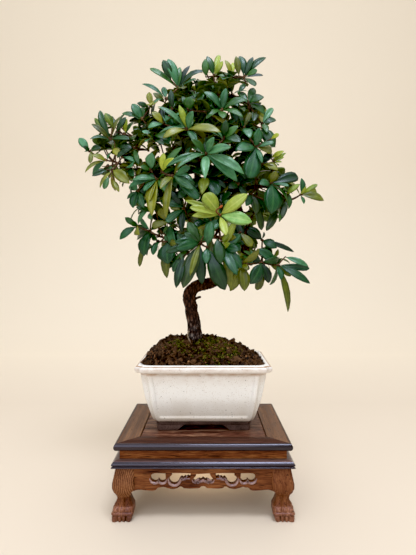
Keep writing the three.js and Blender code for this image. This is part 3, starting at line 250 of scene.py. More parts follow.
def finished(name: str, mesh: Mesh, sharp: float = 40) -> Object:
    """Puts a mesh in the scene, shaded smooth but for sharp edges.

    Args:
        name: The name of the object.
        mesh: The mesh.
        sharp: The angle in degrees from which an edge stays sharp.

    Returns:
        The object.
    """
    mesh.shade_smooth()
    mesh.set_sharp_from_angle(angle=math.radians(sharp))
    return placed(name, mesh)


def applied(piece: Object) -> Object:
    """Turns a curve, or a mesh with its modifiers, into a plain mesh.

    Args:
        piece: The object, which is replaced.

    Returns:
        A new object of the same name.
    """
    depsgraph = bpy.context.evaluated_depsgraph_get()
    mesh = bpy.data.meshes.new_from_object(piece.evaluated_get(depsgraph))
    name, old = piece.name, piece.data
    bpy.data.objects.remove(piece)
    if isinstance(old, Mesh):
        bpy.data.meshes.remove(old)
    mesh.name = name
    return placed(name, mesh)


def dress(piece: Object, slot: str, *nodes: str) -> Object:
    """Lets a piece ride on the body and take the place of its solids.

    Args:
        piece: The finished piece.
        slot: The record's slot that its finish comes from; not used.
        nodes: The solids that it replaces.

    Returns:
        The same piece.
    """
    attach(piece, BODY)
    if nodes:
        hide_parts(*nodes)
    LOG.info("%s: %d faces", piece.name, len(piece.data.polygons))
    return piece


class NodeMaker:
    """A node tree, with one call that adds a node."""

    prefix = ""

    def __init__(self, tree: NodeTree) -> None:
        """Empties a tree and keeps it."""
        self.tree = tree
        self.tree.nodes.clear()

    def add(self, kind: str, inputs: dict[str | int, object] | None = None, output: str | int = 0,
            ramp: Sequence[tuple[float, str]] = (), **settings: object) -> NodeSocket | None:
        """Adds a node with its settings and links.

        Args:
            kind: The node's type, without the tree's own prefix.
            inputs: By the input's name or number, a socket that feeds it or a plain value.
                A colour is given as sRGB hex.
            output: The name or number of the output that is wanted.
            ramp: The stops of a colour ramp, as places and sRGB hex colours.
            settings: Properties of the node.

        Returns:
            The output, or None from a node that has none.
        """
        node = self.tree.nodes.new(self.prefix + kind)
        for key, value in settings.items():
            setattr(node, key, value)
        if ramp:
            stops = node.color_ramp.elements
            while len(stops) < len(ramp):
                stops.new(0.5)
            for stop, (place, colour) in zip(stops, ramp):
                stop.position = place
                stop.color = linear(colour)
        for key, value in (inputs or {}).items():
            if isinstance(value, NodeSocket):
                self.tree.links.new(value, node.inputs[key])
                continue
            is_colour = isinstance(value, str) and value.startswith("#")
            node.inputs[key].default_value = linear(value) if is_colour else value
        return node.outputs[output] if node.outputs else None


class Recipe(NodeMaker):
    """A material's node tree."""

    prefix = "ShaderNode"

    def __init__(self, name: str) -> None:
        """Starts an empty material.

        Args:
            name: Its name.
        """
        self.material = bpy.data.materials.new(name)
        self.material.use_nodes = True
        super().__init__(self.material.node_tree)

    def finish(self, height: NodeSocket, relief: float, depth_mm: float,
               surface: dict[str, object]) -> Material:
        """Gives the surface its fine relief and joins it to the output.

        Args:
            height: What the relief follows.
            relief: Its strength.
            depth_mm: Its depth.
            surface: The other inputs of the surface's shader.

        Returns:
            The material.
        """
        normal = self.add("Bump", {"Height": height, "Strength": relief, "Distance": depth_mm * MM})
        shader = self.add("BsdfPrincipled", {"Normal": normal, **surface})
        self.add("OutputMaterial", {"Surface": shader})
        return self.material


class Along(Enum):
    """The way that the grain of a piece of wood runs."""

    WIDTH = 0
    DEPTH = 1
    HEIGHT = 2


@dataclass(frozen=True)
class OiledHardwood:
    """Dark rosewood-like hardwood, planed, stained and waxed to a satin sheen.

    Long fine streaks and darker pores follow the grain, over broad bands of colour.
    """

    name: str
    along: Along
    dark: str
    middle: str
    light: str
    pore: str
    streak_mm: float = 3.0
    streak_length_mm: float = 90.0
    band_mm: float = 22.0
    pore_share: float = 0.42
    roughness: float = 0.42
    sheen: float = 0.14
    tint: str = "#c3ceff"
    relief: float = 0.35
    slant: float = 0.0

    def scale(self, across_mm: float, along_mm: float) -> Point3:
        """Gives the Mapping scale for features of one size across and another along.

        Args:
            across_mm: Their size across the grain.
            along_mm: Their size along the grain.

        Returns:
            The scale on each axis.
        """
        scale = [1 / (across_mm * MM)] * 3
        scale[self.along.value] = 1 / (along_mm * MM)
        return tuple(scale)

    def make_both(self) -> dict[bool, Material]:
        """Gives the finish for a wide member by True, and for a deep one by False."""
        deep = replace(self, name=self.name.replace("wide", "deep"), along=Along.DEPTH)
        return {True: self.make(), False: deep.make()}

    def make(self) -> Material:
        """Builds the material.

        Returns:
            The material.
        """
        recipe = Recipe(self.name)
        add = recipe.add
        place = add("TexCoord", output="Object")
        streaks = add("Mapping", {"Vector": place, "Rotation": (0, 0, math.radians(self.slant)),
                "Scale": self.scale(self.streak_mm, self.streak_length_mm)})
        fine = add("TexNoise", {
            "Vector": streaks, "Scale": 1.0, "Detail": 6.0, "Roughness": 0.62, "Distortion": 0.3})
        bands = add("Mapping", {
            "Vector": place, "Scale": self.scale(self.band_mm, 5 * self.streak_length_mm)})
        broad = add("TexNoise", {
            "Vector": bands, "Scale": 1.0, "Detail": 3.0, "Roughness": 0.5, "Distortion": 0.8})
        both = add("Math", {0: fine, 1: broad}, operation="ADD")
        tone = add("MapRange", {"Value": both, "From Min": 0.72, "From Max": 1.28})
        colour = add("ValToRGB", {0: tone}, ramp=((0.0, self.dark), (0.5, self.middle), (1.0, self.light)))
        pores = add("Mapping", {"Vector": place, "Scale": self.scale(0.9, 16.0)})
        pore = add("TexNoise", {"Vector": pores, "Scale": 1.0, "Detail": 2.0, "Roughness": 0.6})
        pore = add("MapRange", {
            "Value": pore, "From Min": self.pore_share, "From Max": self.pore_share - 0.1})
        colour = add("MixRGB", {"Fac": pore, "Color1": colour, "Color2": self.pore})
        rough = add("MapRange", {"Value": fine, "From Min": 0.3, "From Max": 0.7,
                "To Min": 0.84 * self.roughness, "To Max": 1.24 * self.roughness})
        height = add("Math", {0: fine, 1: pore}, operation="SUBTRACT")
        return recipe.finish(height, self.relief, 0.25, {"Base Color": colour, "Roughness": rough,
                "IOR": 1.5, "Specular IOR Level": self.sheen, "Specular Tint": self.tint})


@dataclass(frozen=True)
class FiguredHardwood:
    """The same hardwood where the carved knee cuts through its growth layers, waxed.

    The layers lie round a heart that every leg has at the same place, so the knee shows
    nested ovals.
    """

    name: str
    squeeze: Point3
    layer_mm: float
    dark: str
    middle: str
    light: str
    heart_mm: Point3
    turn: float = 33.0
    wander_mm: float = 4.4
    roughness: float = 0.44

    def make(self) -> Material:
        """Builds the material.

        Returns:
            The material.
        """
        recipe = Recipe(self.name)
        add = recipe.add
        place = add("TexCoord", output="Object")
        place = add("VectorMath", {0: place}, operation="ABSOLUTE")
        wander = add("TexNoise", {"Vector": place, "Scale": 1 / (3 * self.wander_mm * MM), "Detail": 3.0,
                "Roughness": 0.5})
        drift = add("Math", {0: wander, 1: self.wander_mm * MM}, operation="MULTIPLY")
        off = add("VectorMath", {0: place, 1: tuple(c * MM for c in self.heart_mm)}, operation="SUBTRACT")
        turned = add("Mapping", {
            "Vector": off, "Rotation": (0, math.radians(self.turn), 0), "Scale": self.squeeze})
        reach = add("VectorMath", {0: turned}, "Value", operation="LENGTH")
        depth = add("Math", {0: reach, 1: drift}, operation="ADD")
        turns = add("Math", {0: depth, 1: math.tau / (self.layer_mm * MM)}, operation="MULTIPLY")
        wave = add("Math", {0: turns}, operation="SINE")
        grit = add("TexNoise", {
            "Vector": place, "Scale": 1 / (2.2 * MM), "Detail": 5.0, "Roughness": 0.65})
        patch = add("TexNoise", {"Vector": place, "Scale": 1 / (26 * MM), "Detail": 3.0, "Roughness": 0.5})
        layers = add("MapRange", {
            "Value": wave, "From Min": -1.0, "From Max": 0.64, "To Min": 0.215, "To Max": 0.709})
        mixed = add("Math", {0: layers, 1: grit}, operation="ADD")
        toned = add("Math", {0: mixed, 1: patch}, operation="ADD")
        tone = add("MapRange", {"Value": toned, "From Min": 1.02, "From Max": 1.92})
        colour = add("ValToRGB", {0: tone},
                     ramp=((0.0, self.dark), (0.48, self.middle), (1.0, self.light)))
        rough = add("MapRange", {"Value": grit, "From Min": 0.3, "From Max": 0.7,
                "To Min": self.roughness - 0.06, "To Max": self.roughness + 0.12})
        return recipe.finish(mixed, 0.3, 0.3, {"Base Color": colour, "Roughness": rough, "IOR": 1.5,
                "Specular IOR Level": 0.16, "Specular Tint": "#c9d2ff"})


@dataclass(frozen=True)
class SpeckledGlaze:
    """Thick off-white stoneware glaze, fired glossy.

    It breaks brownish where it thins along the lip and at its foot, has painted brownish
    shade under the rim and a painted darkening on the rim's face, greys towards the bottom
    of the wall as painted shade, and is dotted with small iron specks.
    """

    name: str
    body: str = "#f8f8f5"
    # Painted shade: a greyer glaze colour towards the bottom of the wall.
    low_shade: str = "#c9bda9"
    # Brownish colour, both for glaze thinning along the lip and foot and for painted shade under and on
    # the rim.
    brown_line_and_shade: str = "#a87a4c"
    speck: str = "#5d4a3a"
    dust: str = "#b7a58f"
    low_mm: float = 128.0
    high_mm: float = 166.0
    # Bands as height, reach and strength: at 204.6 and 199.0 painted shade under the rim, at 212.5 painted
    # shade that dims the rim's face, at 216.6 and 126.6 brownish lines where the glaze thins along the lip
    # and at its foot.
    brown_line_and_shade_bands_mm: tuple[Point3, ...] = (
        (204.6, 4.2, 0.8), (199.0, 15.0, 0.22), (216.6, 0.6, 1.7), (212.5, 6.5, 0.5),
        (126.6, 1.4, 0.6),
    )

    def make(self) -> Material:
        """Builds the material.

        Returns:
            The material.
        """
        recipe = Recipe(self.name)
        add = recipe.add
        place = add("TexCoord", output="Object")
        height = add("SeparateXYZ", {0: place}, "Z")
        cloud = add("TexNoise", {
            "Vector": place, "Scale": 1 / (42 * MM), "Detail": 4.0, "Roughness": 0.55})
        sway = add("MapRange", {
            "Value": cloud, "From Min": 0.3, "From Max": 0.7, "To Min": -7 * MM, "To Max": 7 * MM})
        level = add("Math", {0: height, 1: sway}, operation="ADD")
        # Painted shade: the glaze greys from high_mm down to low_mm, with a cloudy edge.
        low_shade = add("MapRange", {"Value": level, "From Min": self.high_mm * MM,
                "From Max": self.low_mm * MM, "To Max": 0.75})
        colour = add("MixRGB", {"Fac": low_shade, "Color1": self.body, "Color2": self.low_shade})
        broken = add("TexNoise", {"Vector": place, "Scale": 1 / (11 * MM), "Detail": 3.0})
        # Each band mixes in the brownish colour: glaze thinning along the lip and foot, and painted shade
        # under and on the rim.
        for centre, reach, strength in self.brown_line_and_shade_bands_mm:
            off = add("Math", {0: height, 1: centre * MM}, operation="SUBTRACT")
            away = add("Math", {0: off}, operation="ABSOLUTE")
            band = add("MapRange", {
                "Value": away, "From Min": reach * MM, "From Max": 0.0, "To Max": 1.6 * strength})
            amount = add("Math", {0: band, 1: broken}, operation="MULTIPLY")
            colour = add("MixRGB", {"Fac": amount, "Color1": colour, "Color2": self.brown_line_and_shade})
        for cell, least, radius, strength, tint in (
                (5.0, 0.3, 0.17, 0.9, self.speck), (1.7, 0.1, 0.34, 0.62, self.dust)):
            away = add("TexVoronoi", {
                "Vector": place, "Scale": 1 / (cell * MM), "Randomness": 1.0}, "Distance")
            chance = add("SeparateColor", {0: away.node.outputs["Color"]})
            size = add("MapRange", {"Value": chance, "From Min": least, "From Max": 1.0, "To Max": radius})
            inside = add("Math", {0: size, 1: away}, operation="SUBTRACT")
            dot = add("MapRange", {
                "Value": inside, "From Min": -0.02, "From Max": 0.05, "To Max": strength})
            colour = add("MixRGB", {"Fac": dot, "Color1": colour, "Color2": tint})
        ripple = add("TexNoise", {
            "Vector": place, "Scale": 1 / (14 * MM), "Detail": 3.0, "Roughness": 0.5})
        return recipe.finish(ripple, 0.25, 0.5, {"Base Color": colour, "IOR": 1.5, "Roughness": 0.36,
                "Coat Weight": 0.4, "Coat Roughness": 0.15})


@dataclass(frozen=True)
class MatteMineral:
    """Unglazed clay, damp soil or moss: a rough, grainy and broken matte surface."""

    name: str
    dark: str
    middle: str
    light: str
    grain_mm: float
    patch_mm: float
    roughness: float = 0.85
    bump_mm: float = 0.4
    tone_attribute: str | None = None

    def make(self) -> Material:
        """Builds the material.

        Returns:
            The material.
        """
        recipe = Recipe(self.name)
        add = recipe.add
        place = add("TexCoord", output="Object")
        grain = add("TexNoise", {"Vector": place, "Scale": 1 / (self.grain_mm * MM), "Detail": 6.0,
                "Roughness": 0.65})
        patch = add("TexNoise", {"Vector": place, "Scale": 1 / (self.patch_mm * MM), "Detail": 3.0,
                "Roughness": 0.5})
        mixed = add("Math", {0: grain, 1: patch}, operation="ADD")
        tone = add("MapRange", {"Value": mixed, "From Min": 0.7, "From Max": 1.3})
        if self.tone_attribute:
            own = add("Attribute", output="Fac", attribute_name=self.tone_attribute)
            spread = add("Math", {0: own, 1: tone}, operation="ADD")
            tone = add("Math", {0: spread, 1: 0.5}, operation="MULTIPLY")
        colour = add("ValToRGB", {0: tone},
                     ramp=((0.1, self.dark), (0.5, self.middle), (0.92, self.light)))
        return recipe.finish(grain, 0.6, self.bump_mm, {"Base Color": colour, "Roughness": self.roughness,
                "IOR": 1.45, "Specular IOR Level": 0.3})


@dataclass(frozen=True)
class OldBark:
    """Dark fissured bark: brown plates over nearly black cracks, greyer near the soil."""

    name: str
    crack: str
    plate: str
    worn: str
    fissure_mm: float = 3.2
    grey_mm: Point2 = (-2.0, -1.0)

    def make(self) -> Material:
        """Builds the material.

        Returns:
            The material.
        """
        recipe = Recipe(self.name)
        add = recipe.add
        place = add("TexCoord", output="Object")
        stretched = add("Mapping", {"Vector": place, "Scale": (1.0, 1.0, 0.34)})
        away = add("TexVoronoi", {"Vector": stretched, "Scale": 1 / (self.fissure_mm * MM),
                "Randomness": 1.0}, "Distance", feature="DISTANCE_TO_EDGE")
        grit = add("TexNoise", {
            "Vector": stretched, "Scale": 1 / (2.0 * MM), "Detail": 6.0, "Roughness": 0.7})
        patch = add("TexNoise", {"Vector": place, "Scale": 1 / (9 * MM), "Detail": 4.0, "Roughness": 0.6})
        opened = add("MapRange", {"Value": away, "From Min": 0.0, "From Max": 0.22, "To Min": 0.3})
        mixed = add("Math", {0: opened, 1: grit}, operation="MULTIPLY")
        toned = add("Math", {0: mixed, 1: patch}, operation="ADD")
        tone = add("MapRange", {"Value": toned, "From Min": 0.55, "From Max": 1.15})
        colour = add("ValToRGB", {0: tone}, ramp=((0.0, self.crack), (0.5, self.plate), (1.0, self.worn)))
        height = add("SeparateXYZ", {0: place}, "Z")
        low = add("MapRange", {
            "Value": height, "From Min": self.grey_mm[1] * MM, "From Max": self.grey_mm[0] * MM})
        bloom = add("MapRange", {"Value": patch, "From Min": 0.42, "From Max": 0.62, "To Max": 0.8})
        greyed = add("Math", {0: low, 1: bloom}, operation="MULTIPLY")
        grey = add("ValToRGB", {0: tone}, ramp=((0.1, "#0c0a0a"), (0.55, "#4b4544"), (1.0, "#a39a90")))
        colour = add("MixRGB", {"Fac": greyed, "Color1": colour, "Color2": grey})
        return recipe.finish(mixed, 0.7, 0.6, {
            "Base Color": colour, "Roughness": 0.8, "IOR": 1.45, "Specular IOR Level": 0.35})


@dataclass(frozen=True)
class LeafSkin:
    """Living firethorn leaf: a leathery waxed upper side and a paler matte under side.

    The wax gives a cool sheen and the lightest tone is a painted sheen; the midrib is pale,
    the side veins are faint, and the margin is lighter, partly as a painted edge highlight.
    """

    name: str
    deep: str
    upper: str
    sheen: str
    under: str
    rib: str
    roughness: float = 0.36
    rib_strength: float = 0.3

    def make(self) -> Material:
        """Builds the material.

        Returns:
            The material.
        """
        recipe = Recipe(self.name)
        add = recipe.add
        across = add("SeparateXYZ", {0: add("UVMap", uv_map="leaf_map")}, "X")
        along = across.node.outputs["Y"]
        side = add("Math", {0: across, 1: 0.5}, operation="SUBTRACT")
        off_rib = add("Math", {0: side}, operation="ABSOLUTE")
        rib = add("MapRange", {
            "Value": off_rib, "From Min": 0.075, "From Max": 0.015, "To Max": self.rib_strength})
        slant = add("Math", {0: off_rib, 1: 0.9}, operation="MULTIPLY")
        vein_place = add("Math", {0: along, 1: slant}, operation="SUBTRACT")
        vein_turns = add("Math", {0: vein_place, 1: 56.0}, operation="MULTIPLY")
        vein_wave = add("Math", {0: vein_turns}, operation="SINE")
        vein = add("MapRange", {"Value": vein_wave, "From Min": 0.72, "From Max": 1.0, "To Max": 0.22})
        mottle = add("TexNoise", {"Vector": add("TexCoord", output="Object"), "Scale": 1 / (9 * MM),
                "Detail": 4.0, "Roughness": 0.6})
        own = add("Attribute", output="Fac", attribute_name="leaf_tone")
        blend = add("Math", {0: mottle, 1: own}, operation="ADD")
        tone = add("MapRange", {"Value": blend, "From Min": 0.45, "From Max": 1.5})
        # Painted sheen: the lightest tone of the base colour.
        colour = add("ValToRGB", {0: tone}, ramp=((0.0, self.deep), (0.5, self.upper), (1.0, self.sheen)))
        # A lighter margin: the leaf's pale edge, and partly a painted edge highlight.
        edge = add("MapRange", {"Value": off_rib, "From Min": 0.43, "From Max": 0.49, "To Max": 0.55})
        under = add("Attribute", output="Fac", attribute_name="leaf_under")
        for share, tint in ((vein, self.rib), (rib, self.rib), (edge, self.rib), (under, self.under)):
            colour = add("MixRGB", {"Fac": share, "Color1": colour, "Color2": tint})
        rough = add("MapRange", {"Value": under, "To Min": self.roughness, "To Max": 0.72})
        lines = add("Math", {0: vein, 1: rib}, operation="ADD")
        height = add("Math", {0: mottle, 1: lines}, operation="SUBTRACT")
        return recipe.finish(height, 0.35, 0.5, {
            "Base Color": colour, "Roughness": rough, "IOR": 1.48, "Coat Weight": 0.2,
            "Coat Roughness": 0.25, "Specular IOR Level": 0.5, "Specular Tint": "#d5e2ff"})


@dataclass
class Studio:
    """A pale sweep, soft light from large panels and the camera of the photograph."""

    camera_place: Point3 = (7.0, -796.0, 357.6)
    lens_mm: float = 30.82
    shift_up: float = -0.00595
    half_width: float = 4200.0
    front: float = -3200.0
    back: float = 1300.0
    height: float = 4200.0
    bend: float = 1100.0
    paper: str = "#f6ebd8"
    # Painted shade: a darker paper colour for the floor in front, so that floor and wall come out alike
    # under the panels.
    floor_shade_paper: str = "#e2d5c2"
    world: str = "#f6ecde"
    world_strength: float = 0.38
    print_black: float = 0.009
    panels: tuple[tuple[str, Point3, Point3, float, float, str], ...] = (
        ("key_panel", (220, -900, 2350), (0, 0, 380), 680, 24, "#edf2ff"),
        ("overhead_panel", (0, 450, 2500), (0, 0, 300), 1000, 7, "#dfe9ff"),
        ("front_panel", (-500, -2200, 1200), (0, 0, 250), 1800, 21.5, "#eef3ff"),
        ("wall_panel", (0, 0, 3600), (0, 2400, 900), 5400, 86, "#f5f9ff"),
        ("bounce_card", (0, 74, 62), (0, 74, 0), 140, 0.085, "#ffe8cc"),
    )

    def build(self) -> None:
        """Builds the sweep, the lights and the camera."""
        view = bpy.context.scene.view_settings
        view.view_transform = "Standard"
        view.use_curve_mapping = True
        view.curve_mapping.black_level = (self.print_black,) * 3
        view.curve_mapping.update()
        self.build_sweep()
        self.build_world()
        for panel in self.panels:
            self.build_panel(*panel)
        self.build_camera()

    def build_sweep(self) -> None:
        """Builds the floor and the wall behind as one bent sheet."""
        line = [(self.front, 0.0), (self.back, 0.0)]
        steps = 24
        for step in range(1, steps + 1):
            turn = 0.5 * math.pi * step / steps
            line.append((self.back + self.bend * math.sin(turn), self.bend * (1 - math.cos(turn))))
        line.append((self.back + self.bend, self.height))
        maker = MeshMaker()
        maker.add_loft([[(-self.half_width, y, z), (self.half_width, y, z)] for y, z in line],
                       closed=False, capped=False)
        recipe = Recipe("matte_backdrop_paper")
        place = recipe.add("TexCoord", output="Object")
        fibre = recipe.add("TexNoise", {"Vector": place, "Scale": 1 / (2.5 * MM), "Detail": 3.0})
        depth = recipe.add("SeparateXYZ", {0: place}, "Y")
        # Painted shade: the paper darkens from the wall towards the floor in front.
        rise = recipe.add("MapRange", {
            "Value": depth, "From Min": 0.4 * self.back * MM, "From Max": self.back * MM})
        colour = recipe.add("MixRGB", {"Fac": rise, "Color1": self.floor_shade_paper, "Color2": self.paper})
        paper = recipe.finish(fibre, 0.08, 0.1, {
            "Base Color": colour, "Roughness": 0.9, "Specular IOR Level": 0.2})
        sweep = maker.build("backdrop_sweep", [paper], outward=False)

    def build_world(self) -> None:
        """Gives the room an even pale light."""
        world = bpy.data.worlds.new("studio_room")
        world.use_nodes = True
        background = world.node_tree.nodes["Background"]
        background.inputs["Color"].default_value = linear(self.world)
        background.inputs["Strength"].default_value = self.world_strength
        bpy.context.scene.world = world

    def build_panel(self, name: str, place: Point3, aim: Point3, size: float, power: float,
                    colour: str) -> None:
        """Hangs one large soft light.

        Args:
            name: The light's name.
            place: Where it hangs, in millimetres.
            aim: Where it points.
            size: The length of its sides.
            power: Its power in watts.
            colour: Its colour as sRGB hex.
        """
        data = bpy.data.lights.new(name, "AREA")
        data.shape = "SQUARE"
        data.size = size * MM
        data.energy = power
        data.color = linear(colour)[:3]
        light = placed(name, data)
        light.location = Vector(place) * MM
        direction = (Vector(aim) - Vector(place)).normalized()
        light.rotation_euler = direction.to_track_quat("-Z", "Y").to_euler()

    def build_camera(self) -> None:
        """Places the level camera that the photograph was taken from."""
        data = bpy.data.cameras.new("photograph_camera")
        data.lens = self.lens_mm
        data.shift_y = self.shift_up
        data.clip_end = 50.0
        camera = placed("photograph_camera", data)
        camera.location = Vector(self.camera_place) * MM
        camera.rotation_euler = (math.radians(90), 0, 0)
        bpy.context.scene.camera = camera


class Side(Enum):
    """The sides of the stand, as quarter turns from the front."""

    FRONT = 0
    RIGHT = 1
    BACK = 2
    LEFT = 3

    @property
    def is_long(self) -> bool:
        """Tells whether the side runs along the width."""
        return self in (Side.FRONT, Side.BACK)

    def place(self, along: float, out: float) -> Point2:
        """Turns a place given from the middle along the side and out of the middle."""
        return ((along, -out), (out, along), (-along, out), (-out, -along))[self.value]


@dataclass
class Stand:
    """The low display stand: a framed top, a waist, a moulding, aprons and paw legs."""

    height: float = 112.0
    top_size: Point2 = (260.0, 220.0)
    top_thickness: float = 11.0
    rail_width: float = 34.0
    ledge_width: float = 4.0
    ledge_height: float = 3.2
    panel_drop: float = 1.2
    mitre_gap: float = 0.06
    waist_height: float = 12.3
    waist_inset: float = 7.8
    waist_thickness: float = 9.0
    moulding_size: Point2 = (266.0, 226.0)
    moulding_height: float = 11.2
    joint_gap: float = 0.2
    apron_inset: float = 5.5
    apron_thickness: float = 9.0
    leg_block: float = 34.0
    moulding_profile: tuple[Point2, ...] = ((1.2, 0.0), (0.2, 0.5), (0.0, 1.2), (0.3, 2.0), (1.2, 2.5),
        (2.2, 3.0), (2.2, 3.7), (0.9, 4.1), (0.2, 5.4), (0.9, 6.8), (2.6, 8.7), (5.6, 10.4), (11.2, 11.2),
        (30.0, 11.2), (30.0, 0.0))
    apron_edge: tuple[Point2, ...] = ((100.8, 43), (94, 45), (82.4, 44), (74, 43.6), (69, 44.6),
        (66, 47.4), (63, 48.3), (57.2, 49), (52, 47.4), (45, 46), (38, 47.2), (34, 49.4), (31, 49.3),
        (28, 47.4), (20, 46.6), (11.6, 46.9), (5.6, 47.4), (3.2, 49.4), (0, 50.2))
    apron_scrolls: tuple[tuple[Point2, ...], ...] = (
        ((54.6, 68.6), (62, 69), (69.5, 68.9), (74, 67.6), (76, 64.2), (75.6, 60.2),
         (73.2, 57.2), (70, 56), (66.6, 57), (64.6, 59.6), (62.6, 57), (58.5, 55.9),
         (55.6, 57.6), (54.4, 61)),
        ((18.4, 68.8), (30, 69.1), (42, 69.1), (46, 68.6), (45.4, 66.2), (47.6, 64.6),
         (49, 61.6), (48.6, 57.6), (46.2, 54.4), (42.4, 52.9), (38.6, 53.6), (36, 56),
         (34.2, 59.6), (31.4, 62.6), (28.6, 61.2), (26.6, 63.2), (24.2, 62.4),
         (22, 64), (19.6, 62.6), (18.2, 65)),
    )
    middle_scroll_half: tuple[Point2, ...] = ((9.8, 68.7), (11, 64.6), (14.2, 61), (13.6, 57.8),
        (10.6, 55.9), (7.6, 56.8), (5.4, 59.8), (3.4, 58.6), (0, 61.2))
    leg_outer: tuple[Point2, ...] = ((0.0, 1.5), (1.0, 0.9), (5.0, 0.6), (9.0, 0.7), (13.0, 1.0),
        (17.0, 2.2), (23.0, 5.0), (30.0, 7.0), (36.0, 5.6), (41.0, 2.2), (47.0, 0.3), (54.0, 0.7),
        (65.0, 3.2), (76.9, 5.4))
    leg_inner: tuple[Point2, ...] = ((0.0, 27.4), (2.0, 29.0), (9.0, 31.4), (14.0, 32.4), (20.0, 32.2),
        (27.0, 29.0), (34.0, 26.6), (41.0, 29.6), (44.0, 33.6), (48.0, 33.8), (76.9, 33.8))
    nose_faces: range = range(19)
    slope_faces: range = range(41, 48)
    toe_gaps: tuple[float, ...] = (8.6, 15.6, 22.2)
    toe_height: float = 8.6
    tendon_gaps: tuple[float, ...] = (10.4, 18.6)
    ankle_grooves: tuple[Point3, ...] = ((1.3, 9.0, 0.55), (-0.7, 11.4, 1.5), (1.1, 13.8, 0.7))
    rail_finish: OiledHardwood = OiledHardwood("waxed_rosewood_rail_wide", Along.WIDTH, "#2a1710",
        "#482b1e", "#66432f", "#170b08", streak_mm=2.0)
    # Painted light: the side rails are a lighter copy of the rail wood, for the light that they catch at a
    # grazing angle.
    lit_side_rail_finish: OiledHardwood = OiledHardwood("waxed_rosewood_rail_deep", Along.DEPTH, "#412818",
        "#6a4730", "#8a6547", "#281710", streak_mm=2.0)
    nose_finish: OiledHardwood = OiledHardwood("polished_rosewood_nose", Along.WIDTH, "#130a08", "#22130e",
        "#3d241b", "#0b0504", streak_mm=2.2, roughness=0.13, sheen=0.72, tint="#dfe2fa", relief=0.06)
    side_nose_finish: OiledHardwood = OiledHardwood("waxed_rosewood_side_nose", Along.DEPTH, "#1d100b",
        "#352017", "#503323", "#0f0705", streak_mm=2.2, roughness=0.4, sheen=0.2)
    waist_finish: OiledHardwood = OiledHardwood("waxed_rosewood_waist_wide", Along.WIDTH, "#3f1f10",
        "#7d4724", "#a5703f", "#220e06", streak_mm=1.7, streak_length_mm=20)
    moulding_finish: OiledHardwood = OiledHardwood(
        "waxed_rosewood_moulding_wide", Along.WIDTH, "#160b0a", "#241412", "#3c2620", "#0c0706",
        streak_mm=2.2, roughness=0.15, sheen=0.75, tint="#e0e4ff", relief=0.1)
    # Painted light: a lighter copy of the moulding's wood on its slope, which the overhanging top shades.
    lit_slope_finish: OiledHardwood = OiledHardwood("rubbed_rosewood_slope", Along.WIDTH, "#3e2b26", "#624a42",
        "#84695e", "#2a1a16", streak_mm=1.8, roughness=0.36, sheen=0.4)
    apron_finish: OiledHardwood = OiledHardwood("carved_rosewood_apron_wide", Along.WIDTH, "#3a1c10",
        "#734427", "#9a663d", "#1e0d06", streak_mm=1.5, streak_length_mm=26)
    # Rubbed lighter, and lighter still as a painted highlight along the raised beads.
    highlit_bead_finish: OiledHardwood = OiledHardwood("rubbed_rosewood_bead", Along.WIDTH, "#6a4a40", "#9a7a6e",
        "#c0a8a0", "#2c1a14", streak_mm=1.5, streak_length_mm=12, roughness=0.28, sheen=0.9)
    panel_finish: OiledHardwood = OiledHardwood("figured_rosewood_panel", Along.WIDTH, "#140805",
        "#684132", "#a47e62", "#0f0604", streak_mm=3.8, streak_length_mm=17, band_mm=10, slant=-24)
    knee_finish: FiguredHardwood = FiguredHardwood("oval_figured_rosewood_leg", (1.0, 0.35, 0.62), 2.6,
        "#33180c", "#6e4427", "#9a6a46", (92.0, 92.0, 57.0))
    leg_finish: OiledHardwood = OiledHardwood("straight_grained_rosewood_leg", Along.HEIGHT, "#3a1c0e",
        "#6b3f25", "#8f5d3a", "#210e06", streak_mm=1.7, streak_length_mm=24)
    paw_finish: OiledHardwood = OiledHardwood("worn_rosewood_paw", Along.HEIGHT, "#472617", "#7d5037",
        "#ab795c", "#28120a", streak_mm=1.9, streak_length_mm=14, roughness=0.34, sheen=0.3)

    @property
    def top_base(self) -> float:
        """The height of the underside of the top."""
        return self.height - self.top_thickness

    @property
    def waist_base(self) -> float:
        """The height of the underside of the waist."""
        return self.top_base - self.joint_gap - self.waist_height

    @property
    def moulding_base(self) -> float:
        """The height of the underside of the moulding."""
        return self.waist_base - self.joint_gap - self.moulding_height

    @property
    def apron_top(self) -> float:
        """The height of the top of the aprons and legs."""
        return self.moulding_base - self.joint_gap

    @property
    def waist_size(self) -> Point2:
        """The outer size of the waist."""
        return tuple(length - 2 * self.waist_inset for length in self.top_size)

    def build(self) -> None:
        """Builds and dresses all members."""
        # The side rails take the lighter copy of the rail wood, as painted light.
        rails = {True: [self.rail_finish.make(), self.nose_finish.make()],
                 False: [self.lit_side_rail_finish.make(), self.side_nose_finish.make()]}
        waist, moulding, apron = (finish.make_both() for finish in (
            self.waist_finish, self.moulding_finish, self.apron_finish))
